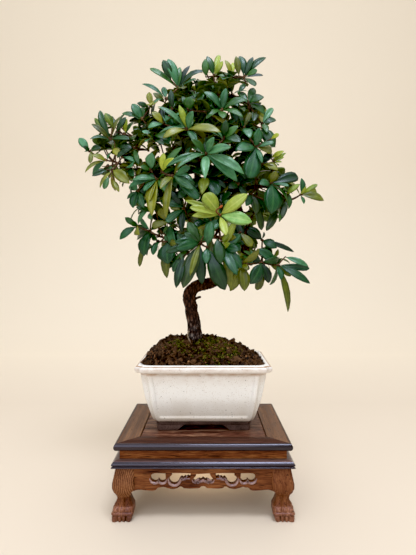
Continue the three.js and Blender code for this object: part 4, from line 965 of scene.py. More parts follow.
        # The moulding's slope and the apron beads take lighter wood as painted light.
        slope, bead, leg, paw, knee = (finish.make() for finish in (self.lit_slope_finish, self.highlit_bead_finish,
                self.leg_finish, self.paw_finish, self.knee_finish))
        for side in Side:
            name, is_long = side.name.lower(), side.is_long
            self.build_member(side, f"top_frame_{name}", self.top_size, self.top_base, self.rail_profile(),
                rails[is_long], "frame_wood", f"top_rail_{name}", self.nose_faces)
            self.build_member(side, f"waist_{name}", self.waist_size, self.waist_base,
                self.waist_profile(), [waist[is_long]], "carved_wood", f"waist_board_{name}")
            self.build_member(side, f"beaded_moulding_{name}", self.moulding_size, self.moulding_base,
                self.fine_moulding_profile(), [moulding[is_long], slope], "frame_wood", f"moulding_{name}",
                self.slope_faces)
            self.build_apron(side, [apron[is_long], bead])
        self.build_panel(self.panel_finish.make())
        for x_side, x_name in ((-1, "left"), (1, "right")):
            for y_side, y_name in ((-1, "front"), (1, "back")):
                top = knee if x_side == y_side else leg
                self.build_leg(x_side, y_side, f"{y_name}_{x_name}", [top, leg, paw])

    def rail_profile(self) -> list[Point2]:
        """Gives a top rail's section: a round nose under a fine quirk, and the panel's ledge.

        Returns:
            The section as insets from the outer face and heights.
        """
        radius = self.top_thickness / 2
        nose = [(radius - radius * math.cos(turn), radius - radius * math.sin(turn))
            for turn in (math.radians(-90 + 180 * step / 18) for step in range(19))]
        nose = [(inset * 0.86, radius * 2 - height) for inset, height in reversed(nose)]
        top = self.top_thickness
        inner = self.rail_width
        return [*nose, (nose[-1][0] + 0.5, top - 0.35), (nose[-1][0] + 1.0, top), (inner - 0.5, top),
            (inner, top - 0.5), (inner, self.ledge_height), (inner + self.ledge_width, self.ledge_height),
            (inner + self.ledge_width, 0.0)]

    def waist_profile(self) -> list[Point2]:
        """Gives the waist's section, a plain board."""
        return [(0.0, 0.0), (0.0, self.waist_height),
                (self.waist_thickness, self.waist_height), (self.waist_thickness, 0.0)]

    def fine_moulding_profile(self) -> list[Point2]:
        """Gives the moulding's section with its two beads rounded."""
        beads = curve_through(self.moulding_profile[:13], 4)
        return [tuple(point) for point in beads] + list(self.moulding_profile[13:])

    def build_member(self, side: Side, name: str, size: Point2, base: float, profile: Sequence[Point2],
            materials: Sequence[Material], slot: str, node: str, other_faces: range = range(0)) -> None:
        """Builds one mitred length of a frame.

        Args:
            side: The side that it lies on.
            name: The name of the piece.
            size: The outer width and depth of the frame.
            base: The height of its underside.
            profile: Its section as insets from the outer face and heights.
            materials: Its finish, and the second one if it has two.
            slot: The record's slot.
            node: The solid that it replaces.
            other_faces: The faces along it that have the second finish.
        """
        length, reach = size if side.is_long else size[::-1]
        maker = MeshMaker()
        rings = []
        for end in (-1, 1):
            rings.append([(*side.place(end * (length / 2 - inset - self.mitre_gap), reach / 2 - inset),
                    base + height) for inset, height in profile])
        maker.add_loft(rings)
        for i in other_faces:
            maker.face_slots[i] = 1
        dress(maker.build(name, materials, sharp=35), slot, node)

    def build_panel(self, material: Material) -> None:
        """Builds the inner panel, a little below the frame with eased edges.

        Args:
            material: Its finish.
        """
        half = [length / 2 - self.rail_width - 0.35 for length in self.top_size]
        top = self.height - self.panel_drop
        base = self.top_base + self.ledge_height + 0.25
        maker = MeshMaker()
        rings = []
        for inset, height in ((0, base), (0, top - 1.6), (0.3, top - 0.9), (1.0, top - 0.3), (2.0, top)):
            x, y = half[0] - inset, half[1] - inset
            rings.append([(-x, -y, height), (x, -y, height), (x, y, height), (-x, y, height)])
        maker.add_loft(rings)
        dress(maker.build("figured_panel", [material], sharp=50), "panel_wood", "top_panel")

    def apron_outline(self, stretch: float) -> list[list[Point2]]:
        """Gives the apron's outline and its pierced scrolls.

        Args:
            stretch: How much longer or shorter the apron is than the front one.

        Returns:
            The outline first, and then the scrolls, as places along it and heights.
        """
        def wide(points: Iterable[Sequence[float]], way: int) -> list[Point2]:
            """Stretches points, on one half or the other."""
            return [(way * stretch * x, height) for x, height in points]

        edge = curve_through(self.apron_edge, 4)
        outline = wide(edge, 1) + wide(edge[-2::-1], -1)
        ends = self.apron_edge[0][0] * stretch
        outline += [(-ends, self.apron_top), (ends, self.apron_top)]
        holes = []
        for scroll in self.apron_scrolls:
            loop = curve_through([*scroll, scroll[0]], 4)[:-1]
            holes += [wide(loop, 1), wide(loop, -1)]
        half = curve_through(self.middle_scroll_half, 4)
        holes.append(wide(half, 1) + wide(half[-2:0:-1], -1))
        return [outline, *holes]

    def build_apron(self, side: Side, materials: Sequence[Material]) -> None:
        """Builds one apron: a pierced board with eased edges and carved beads.

        Args:
            side: The side that it lies on.
            materials: The finishes of the board and of the beads.
        """
        length, reach = self.moulding_size if side.is_long else self.moulding_size[::-1]
        stretch = (length / 2 - self.leg_block) / (self.moulding_size[0] / 2 - self.leg_block)
        outlines = self.apron_outline(stretch)
        front = reach / 2 - self.apron_inset
        ease = 0.7
        data = bpy.data.curves.new("apron_board", "CURVE")
        data.dimensions = "2D"
        data.fill_mode = "BOTH"
        data.extrude = (self.apron_thickness / 2 - ease) * MM
        data.bevel_depth = ease * MM
        data.bevel_resolution = 2
        data.offset = -ease * MM
        for outline in outlines:
            line = data.splines.new("POLY")
            line.points.add(len(outline) - 1)
            line.use_cyclic_u = True
            for point, (along, height) in zip(line.points, outline):
                point.co = (along * MM, height * MM, 0, 1)
        board = applied(placed("apron_board", data))
        middle = front - self.apron_thickness / 2
        maker = MeshMaker()
        places = [tuple(c / MM for c in vertex.co) for vertex in board.data.vertices]
        maker.add([(*side.place(x, middle + z), y) for x, y, z in places],
                  [tuple(polygon.vertices) for polygon in board.data.polygons])
        bpy.data.objects.remove(board)
        self.add_carved_beads(maker, side, front, outlines[1:])
        name = side.name.lower()
        dress(maker.build(f"carved_apron_{name}", materials, sharp=38), "carved_wood", f"apron_{name}")

    def add_carved_beads(self, maker: MeshMaker, side: Side, front: float,
                         holes: Sequence[Sequence[Point2]]) -> None:
        """Adds the raised beads that follow the lower edge of each pierced scroll.

        Args:
            maker: The apron's mesh.
            side: The side that the apron lies on.
            front: How far its face stands from the middle.
            holes: The outlines of the scrolls.
        """
        for hole in holes:
            middle = Vector((sum(p[0] for p in hole), sum(p[1] for p in hole))) / len(hole)
            low = [Vector(p) for p in hole if p[1] < middle.y + 1.0]
            low.sort(key=lambda p: math.atan2(p.x - middle.x, middle.y - p.y + 3))
            rings = []
            for i, place in enumerate(low):
                before, after = low[max(i - 1, 0)], low[min(i + 1, len(low) - 1)]
                step = (after - before).normalized()
                out = Vector((step.y, -step.x))
                share = i / (len(low) - 1)
                radius = 1.9 * min(1.0, 5 * min(share, 1 - share) + 0.2)
                centre = place + out * 1.6
                ring = []
                for turn in (2 * math.pi * k / 10 for k in range(10)):
                    swing = radius * math.cos(turn)
                    stand_off = front - 0.3 + 0.95 * radius * math.sin(turn)
                    ring.append((*side.place(centre.x + out.x * swing, stand_off),
                                 centre.y + out.y * swing))
                rings.append(ring)
            maker.add_loft(rings, slot=1)

    def build_leg(self, x_side: int, y_side: int, name: str, materials: Sequence[Material]) -> None:
        """Builds one leg: a square knee, a waisted ankle and a paw with four toes.

        Args:
            x_side: −1 on the left, 1 on the right.
            y_side: −1 in front, 1 behind.
            name: The end of the piece's name.
            materials: The finishes of its knee, its ankle and its paw.
        """
        corner = (self.moulding_size[0] / 2, self.moulding_size[1] / 2)
        heights = [0.5 * step for step in range(60)]
        heights += [lerp(30, self.apron_top, step / 34) for step in range(35)]
        count = 128
        maker = MeshMaker()
        rings = []
        for height in heights:
            outer = table_value(self.leg_outer, height)
            inner = table_value(self.leg_inner, height)
            middle, half = (outer + inner) / 2, (inner - outer) / 2
            square = lerp(3.6, 9.0, smooth_step(36, 62, height))
            square += 5.0 * smooth_step(16, 9, height)
            ring = []
            for k in range(count):
                turn = 2 * math.pi * k / count
                cosine, sine = math.cos(turn), math.sin(turn)
                stretch = (abs(cosine) ** square + abs(sine) ** square) ** (-1 / square)
                place = Vector((middle + half * stretch * cosine, middle + half * stretch * sine))
                inward = Vector((-cosine, -sine))
                ring.append(place + inward * self.carving(place, outer, height))
            rings.append([(x_side * (corner[0] - place.x), y_side * (corner[1] - place.y), height)
                    for place in ring])
        maker.add_loft(rings)
        for ring in range(len(heights) - 1):
            part = 0 if heights[ring] > 33 else 2 if heights[ring] < 21 else 1
            maker.face_slots[ring * count:(ring + 1) * count] = [part] * count
        dress(maker.build(f"paw_leg_{name}", materials, sharp=50), "carved_wood", f"leg_{name}")

    def carving(self, place: Vector, outer: float, height: float) -> float:
        """Tells how deep the leg is carved at a place.

        Args:
            place: The place as insets from the two outer faces.
            outer: The inset of the outer faces at this height.
            height: The height above the floor.

        Returns:
            The depth in millimetres, negative where it is raised.
        """
        depth = 0.0
        for along, inset in ((place.x, place.y), (place.y, place.x)):
            face = smooth_step(8, 3, inset - outer)
            if not face:
                continue
            split = min(height / self.toe_height, 1.0)
            wide = lerp(1.9, 0.7, split)
            toes = smooth_step(self.toe_height + 0.6, self.toe_height - 1.2, height)
            for gap in self.toe_gaps:
                depth += 4.6 * toes * face * math.exp(-((along - gap) / wide) ** 2)
            for deep, level, width in self.ankle_grooves:
                depth += face * deep * math.exp(-((height - level) / width) ** 2)
            tendon = smooth_step(13.5, 15.0, height) * smooth_step(40, 28, height)
            for gap in self.tendon_gaps:
                depth += 1.9 * tendon * face * math.exp(-((along - gap) / 1.5) ** 2)
            knuckle = math.exp(-((height - 17.5) / 3.6) ** 2)
            depth -= 1.2 * knuckle * face
        return depth


@dataclass
class Pot:
    """The glazed pot: ribbed and indented corners, a rolled rim and an unglazed base."""

    side_difference: float = 25.0
    glaze_profile: tuple[Point2, ...] = ((126.8, 73.4), (126.4, 74.8), (127.1, 76.4), (128.8, 78.0),
        (131.6, 79.6), (135.0, 81.0), (138.5, 82.2), (148.0, 85.2), (165.0, 90.4), (186.0, 94.5),
        (198.0, 96.4), (203.8, 97.1), (205.4, 98.2), (206.4, 100.4), (207.4, 102.8), (209.0, 104.5),
        (211.2, 105.2), (213.6, 105.1), (215.6, 104.2), (216.8, 102.8), (216.9, 101.9), (216.5, 101.3),
        (217.2, 100.9), (218.2, 100.2), (218.7, 99.2))
    inner_profile: tuple[Point2, ...] = ((218.6, 97.6), (217.9, 96.3), (216.4, 95.6), (208.0, 94.6),
        (186.0, 87.3), (148.0, 79.0), (134.0, 73.0))
    glaze_steps: int = 3
    corner_notch: tuple[Point2, ...] = ((0.0, -15.4), (0.35, -13.9), (0.15, -12.3), (-0.9, -10.9),
        (-2.9, -9.9), (-5.2, -9.0), (-7.4, -7.4))
    corner_levels: Point2 = (130.0, 185.0)
    corner_least: float = 0.45
    recess: float = 2.3
    rib_width: float = 6.4
    inner_radius: float = 20.0
    clay_half_width: float = 74.6
    clay_top: float = 126.9
    clay_bottom: float = 120.5
    foot_bottom: float = 111.1
    foot_lengths: Point2 = (34.0, 19.0)
    foot_flare: float = 12.0
    foot_thickness: float = 13.0
    drain_offset: float = 38.0
    mesh_side: float = 25.0
    mesh_top: float = 135.3
    glaze: SpeckledGlaze = SpeckledGlaze("cream_speckled_stoneware_glaze")
    clay: MatteMineral = MatteMineral("unglazed_purple_brown_stoneware", "#33261f", "#53403a", "#6a554d",
        1.6, 22.0, roughness=0.68, bump_mm=0.25)
    mesh_finish: MatteMineral = MatteMineral("dark_green_polyethylene_mesh", "#1b2a22", "#24352c",
        "#30463a", 2.0, 9.0, roughness=0.5, bump_mm=0.05)

    def build(self) -> None:
        """Builds and dresses the pot and the meshes over its drain holes."""
        maker = MeshMaker()
        outer = curve_through(self.glaze_profile, self.glaze_steps)
        inner = curve_through(self.inner_profile, self.glaze_steps)
        maker.add_loft([*[self.ring(width, height) for height, width in outer],
                        *[self.inner_ring(width, height) for height, width in inner]])
        self.add_base(maker)
        for x_side in (-1, 1):
            for y_side in (-1, 1):
                self.add_foot(maker, x_side, y_side)
        pot = maker.build("glazed_pot", [self.glaze.make(), self.clay.make()], sharp=60)
        dress(pot, "glaze", "pot")
        plastic = self.mesh_finish.make()
        for side, name in ((-1, "left"), (1, "right")):
            self.build_mesh(side, name, plastic)

    def ring(self, half_width: float, height: float) -> list[Point3]:
        """Gives the pot's outline at one height, with its ribs and indented corners.

        Args:
            half_width: Half of its width there.
            height: The height above the floor.

        Returns:
            The points, counter-clockwise from the right.
        """
        recess = self.recess * smooth_step(132, 137, height) * smooth_step(204, 200, height)
        part = lerp(self.corner_least, 1, smooth_step(*self.corner_levels, height))
        part *= lerp(1, 0.8, smooth_step(204, 208, height))
        notch = [(part * a, part * b) for a, b in curve_through(self.corner_notch, 4)]
        corner = notch + [(b, a) for a, b in notch[-2::-1]]
        return self.outline(half_width, corner, 10.9 * part + self.rib_width, recess, height)

    def inner_ring(self, half_width: float, height: float) -> list[Point3]:
        """Gives the outline of the pot's inside at one height, with rounded corners.

        Args:
            half_width: Half of its width there.
            height: The height above the floor.

        Returns:
            The points, counter-clockwise from the right.
        """
        count = 8 * (len(self.corner_notch) - 1)
        turns = [0.5 * math.pi * step / count for step in range(count + 1)]
        radius = self.inner_radius
        corner = [(radius * (math.cos(turn) - 1), radius * (math.sin(turn) - 1)) for turn in turns]
        return self.outline(half_width, corner, radius + 1, 0.0, height)

    def outline(self, half_width: float, corner: Sequence[Point2], edge: float,
                recess: float, height: float) -> list[Point3]:
        """Lays four corners and the faces between them round the pot.

        Args:
            half_width: Half of the width.
            corner: One corner's points, counted from where its two faces would meet.
            edge: How far from there the faces' panels end.
            recess: How deep the panels lie.
            height: The height above the floor.

        Returns:
            The points, counter-clockwise from the right.
        """
        half_depth = half_width - self.side_difference
        slope = ((2.4, 1.0), (1.5, 0.8), (0.6, 0.3), (0.1, 0.05))
        shares = (0.0, 0.35, 0.65, 0.88)
        face = [(-recess, (share - 1) * (half_depth - edge - 2.4) - edge - 2.4) for share in shares]
        face += [(-recess * deep, -edge - off) for off, deep in slope]
        other = [(b, a) for a, b in reversed([(-recess * deep, -edge - off) for off, deep in slope])]
        other += [((share - 1) * (half_width - edge - 2.4) - edge - 2.4, -recess)
                  for share in shares[:0:-1]]
        places = [(half_width + a, half_depth + b) for a, b in [*face, *corner, *other]]
        first = places + [(0.0, half_depth - recess)]
        second = [(-x, y) for x, y in reversed(places[1:])] + [(-places[0][0], 0.0)]
        upper = first + second
        lower = [(-x, -y) for x, y in upper]
        return [(x, y, height) for x, y in [*upper[:-1], *lower[:-1]]]

    def add_base(self, maker: MeshMaker) -> None:
        """Adds the unglazed base under the glaze.

        Args:
            maker: The pot's mesh.
        """
        wide = self.clay_half_width
        profile = ((self.clay_bottom, wide - 9), (self.clay_bottom, wide - 1.6),
                   (self.clay_bottom + 0.6, wide - 0.5), (self.clay_bottom + 3, wide),
                   (self.clay_top, wide - 0.2), (self.clay_top, wide - 9))
        maker.add_loft([self.ring(width, height) for height, width in profile], slot=1)

    def add_foot(self, maker: MeshMaker, x_side: int, y_side: int) -> None:
        """Adds one corner foot, two short walls with sloping ends.

        Args:
            maker: The pot's mesh.
            x_side: −1 on the left, 1 on the right.
            y_side: −1 in front, 1 behind.
        """
        wide = self.clay_half_width
        deep = wide - self.side_difference
        top = self.clay_bottom + 1.2
        rings = []
        for share, tuck in ((0.0, 0.0), (0.2, 0.1), (0.4, 0.25), (0.6, 0.45), (0.8, 0.7),
                            (0.92, 1.0), (0.975, 1.5), (1.0, 2.3)):
            height = lerp(top, self.foot_bottom, share)
            flare = self.foot_flare * (1 - share) ** 1.35
            long, short = (length + flare for length in self.foot_lengths)
            inset = 0.7 + tuck
            thick = self.foot_thickness - 0.6 * tuck
            corner = [(inset + 5.0 * (1 - math.sin(turn)), inset + 5.0 * (1 - math.cos(turn)))
                      for turn in (0.5 * math.pi * k / 6 for k in range(7))]
            outline = [(long - tuck, inset), (long - tuck, thick), (thick + 1, thick), (thick, thick + 1),
                (thick, short - tuck), (inset, short - tuck), *reversed(corner)]
            rings.append([(x_side * (wide - a), y_side * (deep - b), height) for a, b in outline])
        maker.add_loft(rings, slot=1)

    def build_mesh(self, side: int, name: str, plastic: Material) -> None:
        """Builds the plastic mesh over one drain hole, woven of flat strands.

        Args:
            side: −1 on the left, 1 on the right.
            name: The end of the piece's name.
            plastic: Its finish.
        """
        maker = MeshMaker()
        half = self.mesh_side / 2
        strands = 8
        for strand in range(strands):
            at = lerp(-half + 0.6, half - 0.6, strand / (strands - 1))
            for is_along in (True, False):
                low = self.mesh_top - (0.75 if is_along else 1.15)
                rings = []
                for end in (-half, half):
                    section = [(at - 0.5, low), (at + 0.5, low), (at + 0.5, low + 0.6),
                               (at - 0.5, low + 0.6)]
                    rings.append([(side * self.drain_offset + (end if is_along else across),
                            across if is_along else end, height) for across, height in section])
                maker.add_loft(rings)
        dress(maker.build(f"drain_strands_{name}", [plastic]), "drain_mesh", f"drain_mesh_{name}")


class Weave(NodeMaker):
    """A geometry node tree with named inputs, and its use as a modifier."""

    def __init__(self, name: str, inputs: dict[str, tuple[str, object]]) -> None:
        """Starts a tree.

        Args:
            name: The name of the tree.
            inputs: Socket types and values by the names of the inputs.
        """
        super().__init__(bpy.data.node_groups.new(name, "GeometryNodeTree"))
        face = self.tree.interface
        face.new_socket("Geometry", in_out="INPUT", socket_type="NodeSocketGeometry")
        face.new_socket("Geometry", in_out="OUTPUT", socket_type="NodeSocketGeometry")
        self.values = {}
        for label, (kind, value) in inputs.items():
            socket = face.new_socket(label, in_out="INPUT", socket_type=kind)
            self.values[socket.identifier] = value
        self.source = self.add("NodeGroupInput").node.outputs

    def use_on(self, piece: Object, geometry: NodeSocket) -> Object:
        """Ends the tree, runs it on an object and keeps the result as a plain mesh.

        Args:
            piece: The object that gives the points or the surface.
            geometry: The result of the tree.

        Returns:
            The object with its new mesh.
        """
        self.add("NodeGroupOutput", {0: geometry})
        modifier = piece.modifiers.new(self.tree.name, "NODES")
        modifier.node_group = self.tree
        for identifier, value in self.values.items():
            modifier[identifier] = value
        return applied(piece)


def hidden_collection(name: str, pieces: Iterable[Object]) -> Collection:
    """Moves shapes that are repeated out of the scene.

    Args:
        name: The name of their collection.
        pieces: The shapes.

    Returns:
        The collection.
    """
    collection = bpy.data.collections.new(name)
    for piece in pieces:
        for other in list(piece.users_collection):
            other.objects.unlink(piece)
        collection.objects.link(piece)
    return collection


def discard(collection: Collection) -> None:
    """Removes repeated shapes once they have been used.

    Args:
        collection: The shapes' collection.
    """
    for piece in list(collection.objects):
        bpy.data.objects.remove(piece)
    bpy.data.collections.remove(collection)


@dataclass
class Soil:
    """A rough mound of damp potting soil with crumbs, bark chips and patches of moss."""

    edge_height: float = 213.6
    edge_half_width: float = 94.7
    mound_height: float = 43.0
    heap_shares: Point2 = (0.33, 0.0)
    heap_reach: float = 60.0
    mound_tilt: float = 0.1
    hollow_depth: float = 7.0
    hollow_reach: float = 26.0
    middle: Point2 = (-14.0, -15.0)
    wall: tuple[Point2, ...] = ((134.6, 72.4), (148.0, 78.6), (186.0, 87.1), (208.0, 94.2))
    rings: int = 52
    crumb_density: float = 170000.0
    crumb_sizes: Point2 = (0.7, 3.3)
    clod_density: float = 12000.0
    clod_sizes: Point2 = (2.6, 5.2)
    chip_density: float = 26000.0
    chip_sizes: Point2 = (0.7, 1.7)
    moss_density: float = 640000.0
    moss_sizes: Point2 = (0.9, 1.9)
    moss_places: tuple[Point3, ...] = ((-52, -36, 17), (-34, -44, 15), (-44, -22, 12), (14, -30, 16),
        (30, -40, 15), (38, -18, 17), (6, -54, 12), (22, -58, 13), (46, -50, 10), (-4, -30, 10),
        (18, -8, 14), (58, -30, 8))
    ground: MatteMineral = MatteMineral(
        "damp_peaty_potting_soil", "#080504", "#170e0a", "#2c1c12", 1.5, 12.0, bump_mm=1.2)
    crumb: MatteMineral = MatteMineral("crumbly_bark_and_peat_soil", "#040302", "#21130b", "#6e4e32", 1.6,
        5.0, bump_mm=0.6, tone_attribute="tone")
    chip: MatteMineral = MatteMineral("orange_bark_chips", "#2a1509", "#6b3a1c", "#b98a5c", 1.8, 6.0,
        bump_mm=0.5, tone_attribute="tone")
    moss: MatteMineral = MatteMineral("young_cushion_moss", "#1c1f07", "#4a5012", "#a09c42", 1.2, 8.0,
        bump_mm=0.4, tone_attribute="tone")

    def height_at(self, share: float, x: float, y: float) -> float:
        """Gives the mound's height.

        Args:
            share: 0 at the trunk and 1 at the pot's wall.
            x: The place to the right.
            y: The place towards the back.

        Returns:
            The height above the floor.
        """
        away = math.hypot(x - self.middle[0], y - self.middle[1])
        hollow = self.hollow_depth * math.exp(-(away / self.hollow_reach) ** 2)
        heap = lerp(*self.heap_shares, smooth_step(-self.heap_reach, self.heap_reach, x))
        mound = self.mound_height * lerp(1 - share ** 1.5, 1 - share ** 12, heap)
        rough = 4.6 * noise.noise(Vector((x, y, 0)) / 11.0)
        rough += 2.2 * noise.noise(Vector((x, y, 7)) / 4.2)
        fade = smooth_step(1.0, 0.93, share)
        return self.edge_height + mound + (self.mound_tilt * y - hollow) * (1 - share) + rough * fade

    def build(self, pot: Pot) -> None:
        """Builds and dresses the soil.

        Args:
            pot: The pot that holds it.
        """
        rings = [pot.inner_ring(width, height) for height, width in self.wall]
        edge = pot.inner_ring(self.edge_half_width, self.edge_height)
        top = []
        for step in range(self.rings + 1):
            share = max(1 - step / self.rings, 0.004)
            ring = []
            for x, y, _ in edge:
                across = lerp(self.middle[0], x, share), lerp(self.middle[1], y, share)
                ring.append((*across, self.height_at(share, *across)))
            top.append(ring)
        body = MeshMaker()
        body.add_loft([*rings, *top])
        soil = body.build("soil_mound", [self.ground.make()], sharp=180)
        dress(soil, "soil", "soil")
        surface = MeshMaker()
        surface.add_loft(top, capped=False)
        self.build_crumbs(surface)
        self.build_moss(surface)

    def scatter(self, name: str, surface: MeshMaker, shapes: Collection, density: float, sizes: Point2,
            seed: int, material: Material, cover: Callable[[Vector], float], lift: float) -> None:
        """Strews shapes over the mound with geometry nodes, and dresses them.

        Args:
            name: The name of the piece.
            surface: The mound's top.
            shapes: The shapes to choose from.
            density: The number on each square metre.
            sizes: The smallest and largest scale.
            seed: The seed of the draws.
            material: Their finish.
            cover: The share of the density at a place, in millimetres.
            lift: How far up they are moved, in millimetres.
        """
        base = surface.build(name, [], outward=False)
        share = base.data.attributes.new("cover", "FLOAT", "POINT")
        share.data.foreach_set("value", [cover(v.co / MM) for v in base.data.vertices])
        weave = Weave(f"{name}_scatter", {"Density": ("NodeSocketFloat", density),
                "Seed": ("NodeSocketInt", seed), "Smallest": ("NodeSocketFloat", sizes[0]),
                "Largest": ("NodeSocketFloat", sizes[1]), "Shapes": ("NodeSocketCollection", shapes),
                "Finish": ("NodeSocketMaterial", material)})
        add, source = weave.add, weave.source
        seeded = {"Seed": source["Seed"]}
        covered = add("GeometryNodeInputNamedAttribute", {"Name": "cover"}, data_type="FLOAT")
        dense = add("ShaderNodeMath", {0: source["Density"], 1: covered}, operation="MULTIPLY")
        points = add("GeometryNodeDistributePointsOnFaces", {
            "Mesh": source["Geometry"], "Density": dense, **seeded}, "Points")
        turn = add("FunctionNodeRandomValue", {"Max": (math.tau,) * 3, **seeded}, "Value",
                   data_type="FLOAT_VECTOR")
        size = add("FunctionNodeRandomValue", {"Min": source["Smallest"], "Max": source["Largest"],
                **seeded}, "Value", data_type="FLOAT")
        tone = add("FunctionNodeRandomValue", seeded, "Value", data_type="FLOAT")
        toned = add("GeometryNodeStoreNamedAttribute", {"Geometry": points, "Name": "tone", "Value": tone},
            data_type="FLOAT", domain="POINT")
        raised = add("GeometryNodeSetPosition", {"Geometry": toned, "Offset": (0, 0, lift * MM)})
        choice = add("GeometryNodeCollectionInfo", {
            "Collection": source["Shapes"], "Separate Children": True, "Reset Children": True})
        strewn = add("GeometryNodeInstanceOnPoints", {
            "Points": raised, "Instance": choice, "Pick Instance": True,
            "Rotation": add("FunctionNodeEulerToRotation", {0: turn}), "Scale": size})
        real = add("GeometryNodeRealizeInstances", {0: strewn})
        coated = add("GeometryNodeSetMaterial", {"Geometry": real, "Material": source["Finish"]})
        dress(weave.use_on(base, coated), "soil")

    def lump(self, name: str, seed: int, spread: float) -> Object:
        """Makes one crumb, a knobbly lump of a millimetre.

        Args:
            name: Its name.
            seed: Which lump it is.
            spread: How knobbly it is.

        Returns:
            The lump.
        """
        work = bmesh.new()
        bmesh.ops.create_icosphere(work, subdivisions=1, radius=1.0 * MM)
        for vertex in work.verts:
            away = vertex.co.normalized()
            swell = 1 + spread * noise.noise(away * 1.9 + Vector((seed * 7.3, 0, 0)))
            vertex.co = away * MM * swell
            vertex.co.z *= 0.6
            vertex.co.x *= 1.25
        mesh = bpy.data.meshes.new(name)
        work.to_mesh(mesh)
        work.free()
        return finished(name, mesh, sharp=30)

    def build_crumbs(self, surface: MeshMaker) -> None:
        """Strews the soil's crumbs, clods and chips over the mound.

        Args:
            surface: The mound's top.
        """
        shapes = hidden_collection("crumb_shapes", [self.lump(f"crumb_{i}", i, 1.5) for i in range(8)])
        crumb = self.crumb.make()
        self.scatter("soil_crumbs", surface, shapes, self.crumb_density, self.crumb_sizes, 11, crumb,
                     lambda v: (0.4 + 0.6 * smooth_step(-0.3, 0.4, noise.noise(v / 14.0)))
                     * (1 - 0.75 * self.moss_cover(v)), 0.2)
        self.scatter("soil_clods", surface, shapes, self.clod_density, self.clod_sizes, 47, crumb,
                     lambda v: 1 - 0.8 * self.moss_cover(v), 0.6)
        self.scatter("bark_chips", surface, shapes, self.chip_density, self.chip_sizes, 31,
                     self.chip.make(), lambda v: 1.0, 0.9)
        discard(shapes)

    def moss_cover(self, place: Vector) -> float:
        """Tells how thickly moss covers a place.

        Args:
            place: The place, in millimetres.

        Returns:
            The cover, from 0 to 1.
        """
        cover = 0.0
        for x, y, reach in self.moss_places:
            away = math.hypot(place.x - x, place.y - y) / reach
            cover = max(cover, smooth_step(1.15, 0.5, away))
        broken = smooth_step(-0.25, 0.3, noise.noise(place / 4.5))
        return cover * broken

    def tuft(self, name: str, seed: int) -> Object:
        """Makes one moss tuft: a few pointed leaflets from one foot.

        Args:
            name: Its name.
            seed: The seed of its draws.

        Returns:
            The tuft.
        """
        maker = MeshMaker()
        for blade in range(5):
            turn = math.tau * (blade + draw(seed + blade)) / 5
            lean = 0.35 + 0.75 * draw(seed + blade, 2)
            out = Vector((math.cos(turn) * lean, math.sin(turn) * lean, 1)).normalized()
            side = out.cross(UP).normalized() * 0.28
            tip = out * (1.6 + 0.9 * draw(seed + blade, 3))
            middle = out * 0.8
            back = side.cross(out) * 0.5
            maker.add([(0, 0, -0.4), tuple(middle + side), tuple(middle - side), tuple(middle + back),
                    tuple(tip)], [(0, 1, 3), (0, 3, 2), (0, 2, 1), (1, 4, 3), (3, 4, 2), (2, 4, 1)])
        return maker.build(name, [], sharp=60)

    def build_moss(self, surface: MeshMaker) -> None:
        """Strews the moss in its patches.

        Args:
            surface: The mound's top.
        """
        shapes = hidden_collection("moss_shapes", [self.tuft(f"tuft_{i}", 50 * i) for i in range(6)])
        self.scatter("moss_patches", surface, shapes, self.moss_density, self.moss_sizes, 23,
                     self.moss.make(), self.moss_cover, 1.2)
        discard(shapes)


@dataclass(frozen=True)
class ReferenceView:
    """Turns a place in the reference view and its depth into a place in space."""

    eye: Point3 = (7.0, -796.0, 357.6)
    focal: float = 475.2
    centre: Point2 = (208.0, 274.2)

    def place(self, column: float, row: float, depth: float) -> Vector:
        """Gives a place in space.

        Args:
            column: Its column in the view.
            row: Its row in the view.
            depth: How far back it is.

        Returns:
            The place in millimetres.
        """
        reach = (depth - self.eye[1]) / self.focal
        return Vector((self.eye[0] + (column - self.centre[0]) * reach, depth,
                       self.eye[2] - (row - self.centre[1]) * reach))

    def pixel(self, place: Vector) -> Point2:
        """Gives the place in the view.

        Args:
            place: The place in space, in millimetres.

        Returns:
            Its column and row.
        """
        reach = (place.y - self.eye[1]) / self.focal
        return (self.centre[0] + (place.x - self.eye[0]) / reach,
                self.centre[1] - (place.z - self.eye[2]) / reach)


VIEW = ReferenceView()


@dataclass(frozen=True)
class Limb:
    """A branch or the trunk: places in the reference view with depths, and radii."""

    places: tuple[Point3, ...]
    radii: tuple[float, ...]

    def at(self, where: float) -> Vector:
        """Gives a place in the middle of the limb.

        Args:
            where: How many of its places lie before it, with the share of a step.

        Returns:
            The place in millimetres.
        """
        low = min(math.floor(where), len(self.places) - 2)
        first, second = (VIEW.place(*self.places[low + i]) for i in (0, 1))
        return first.lerp(second, where - low)


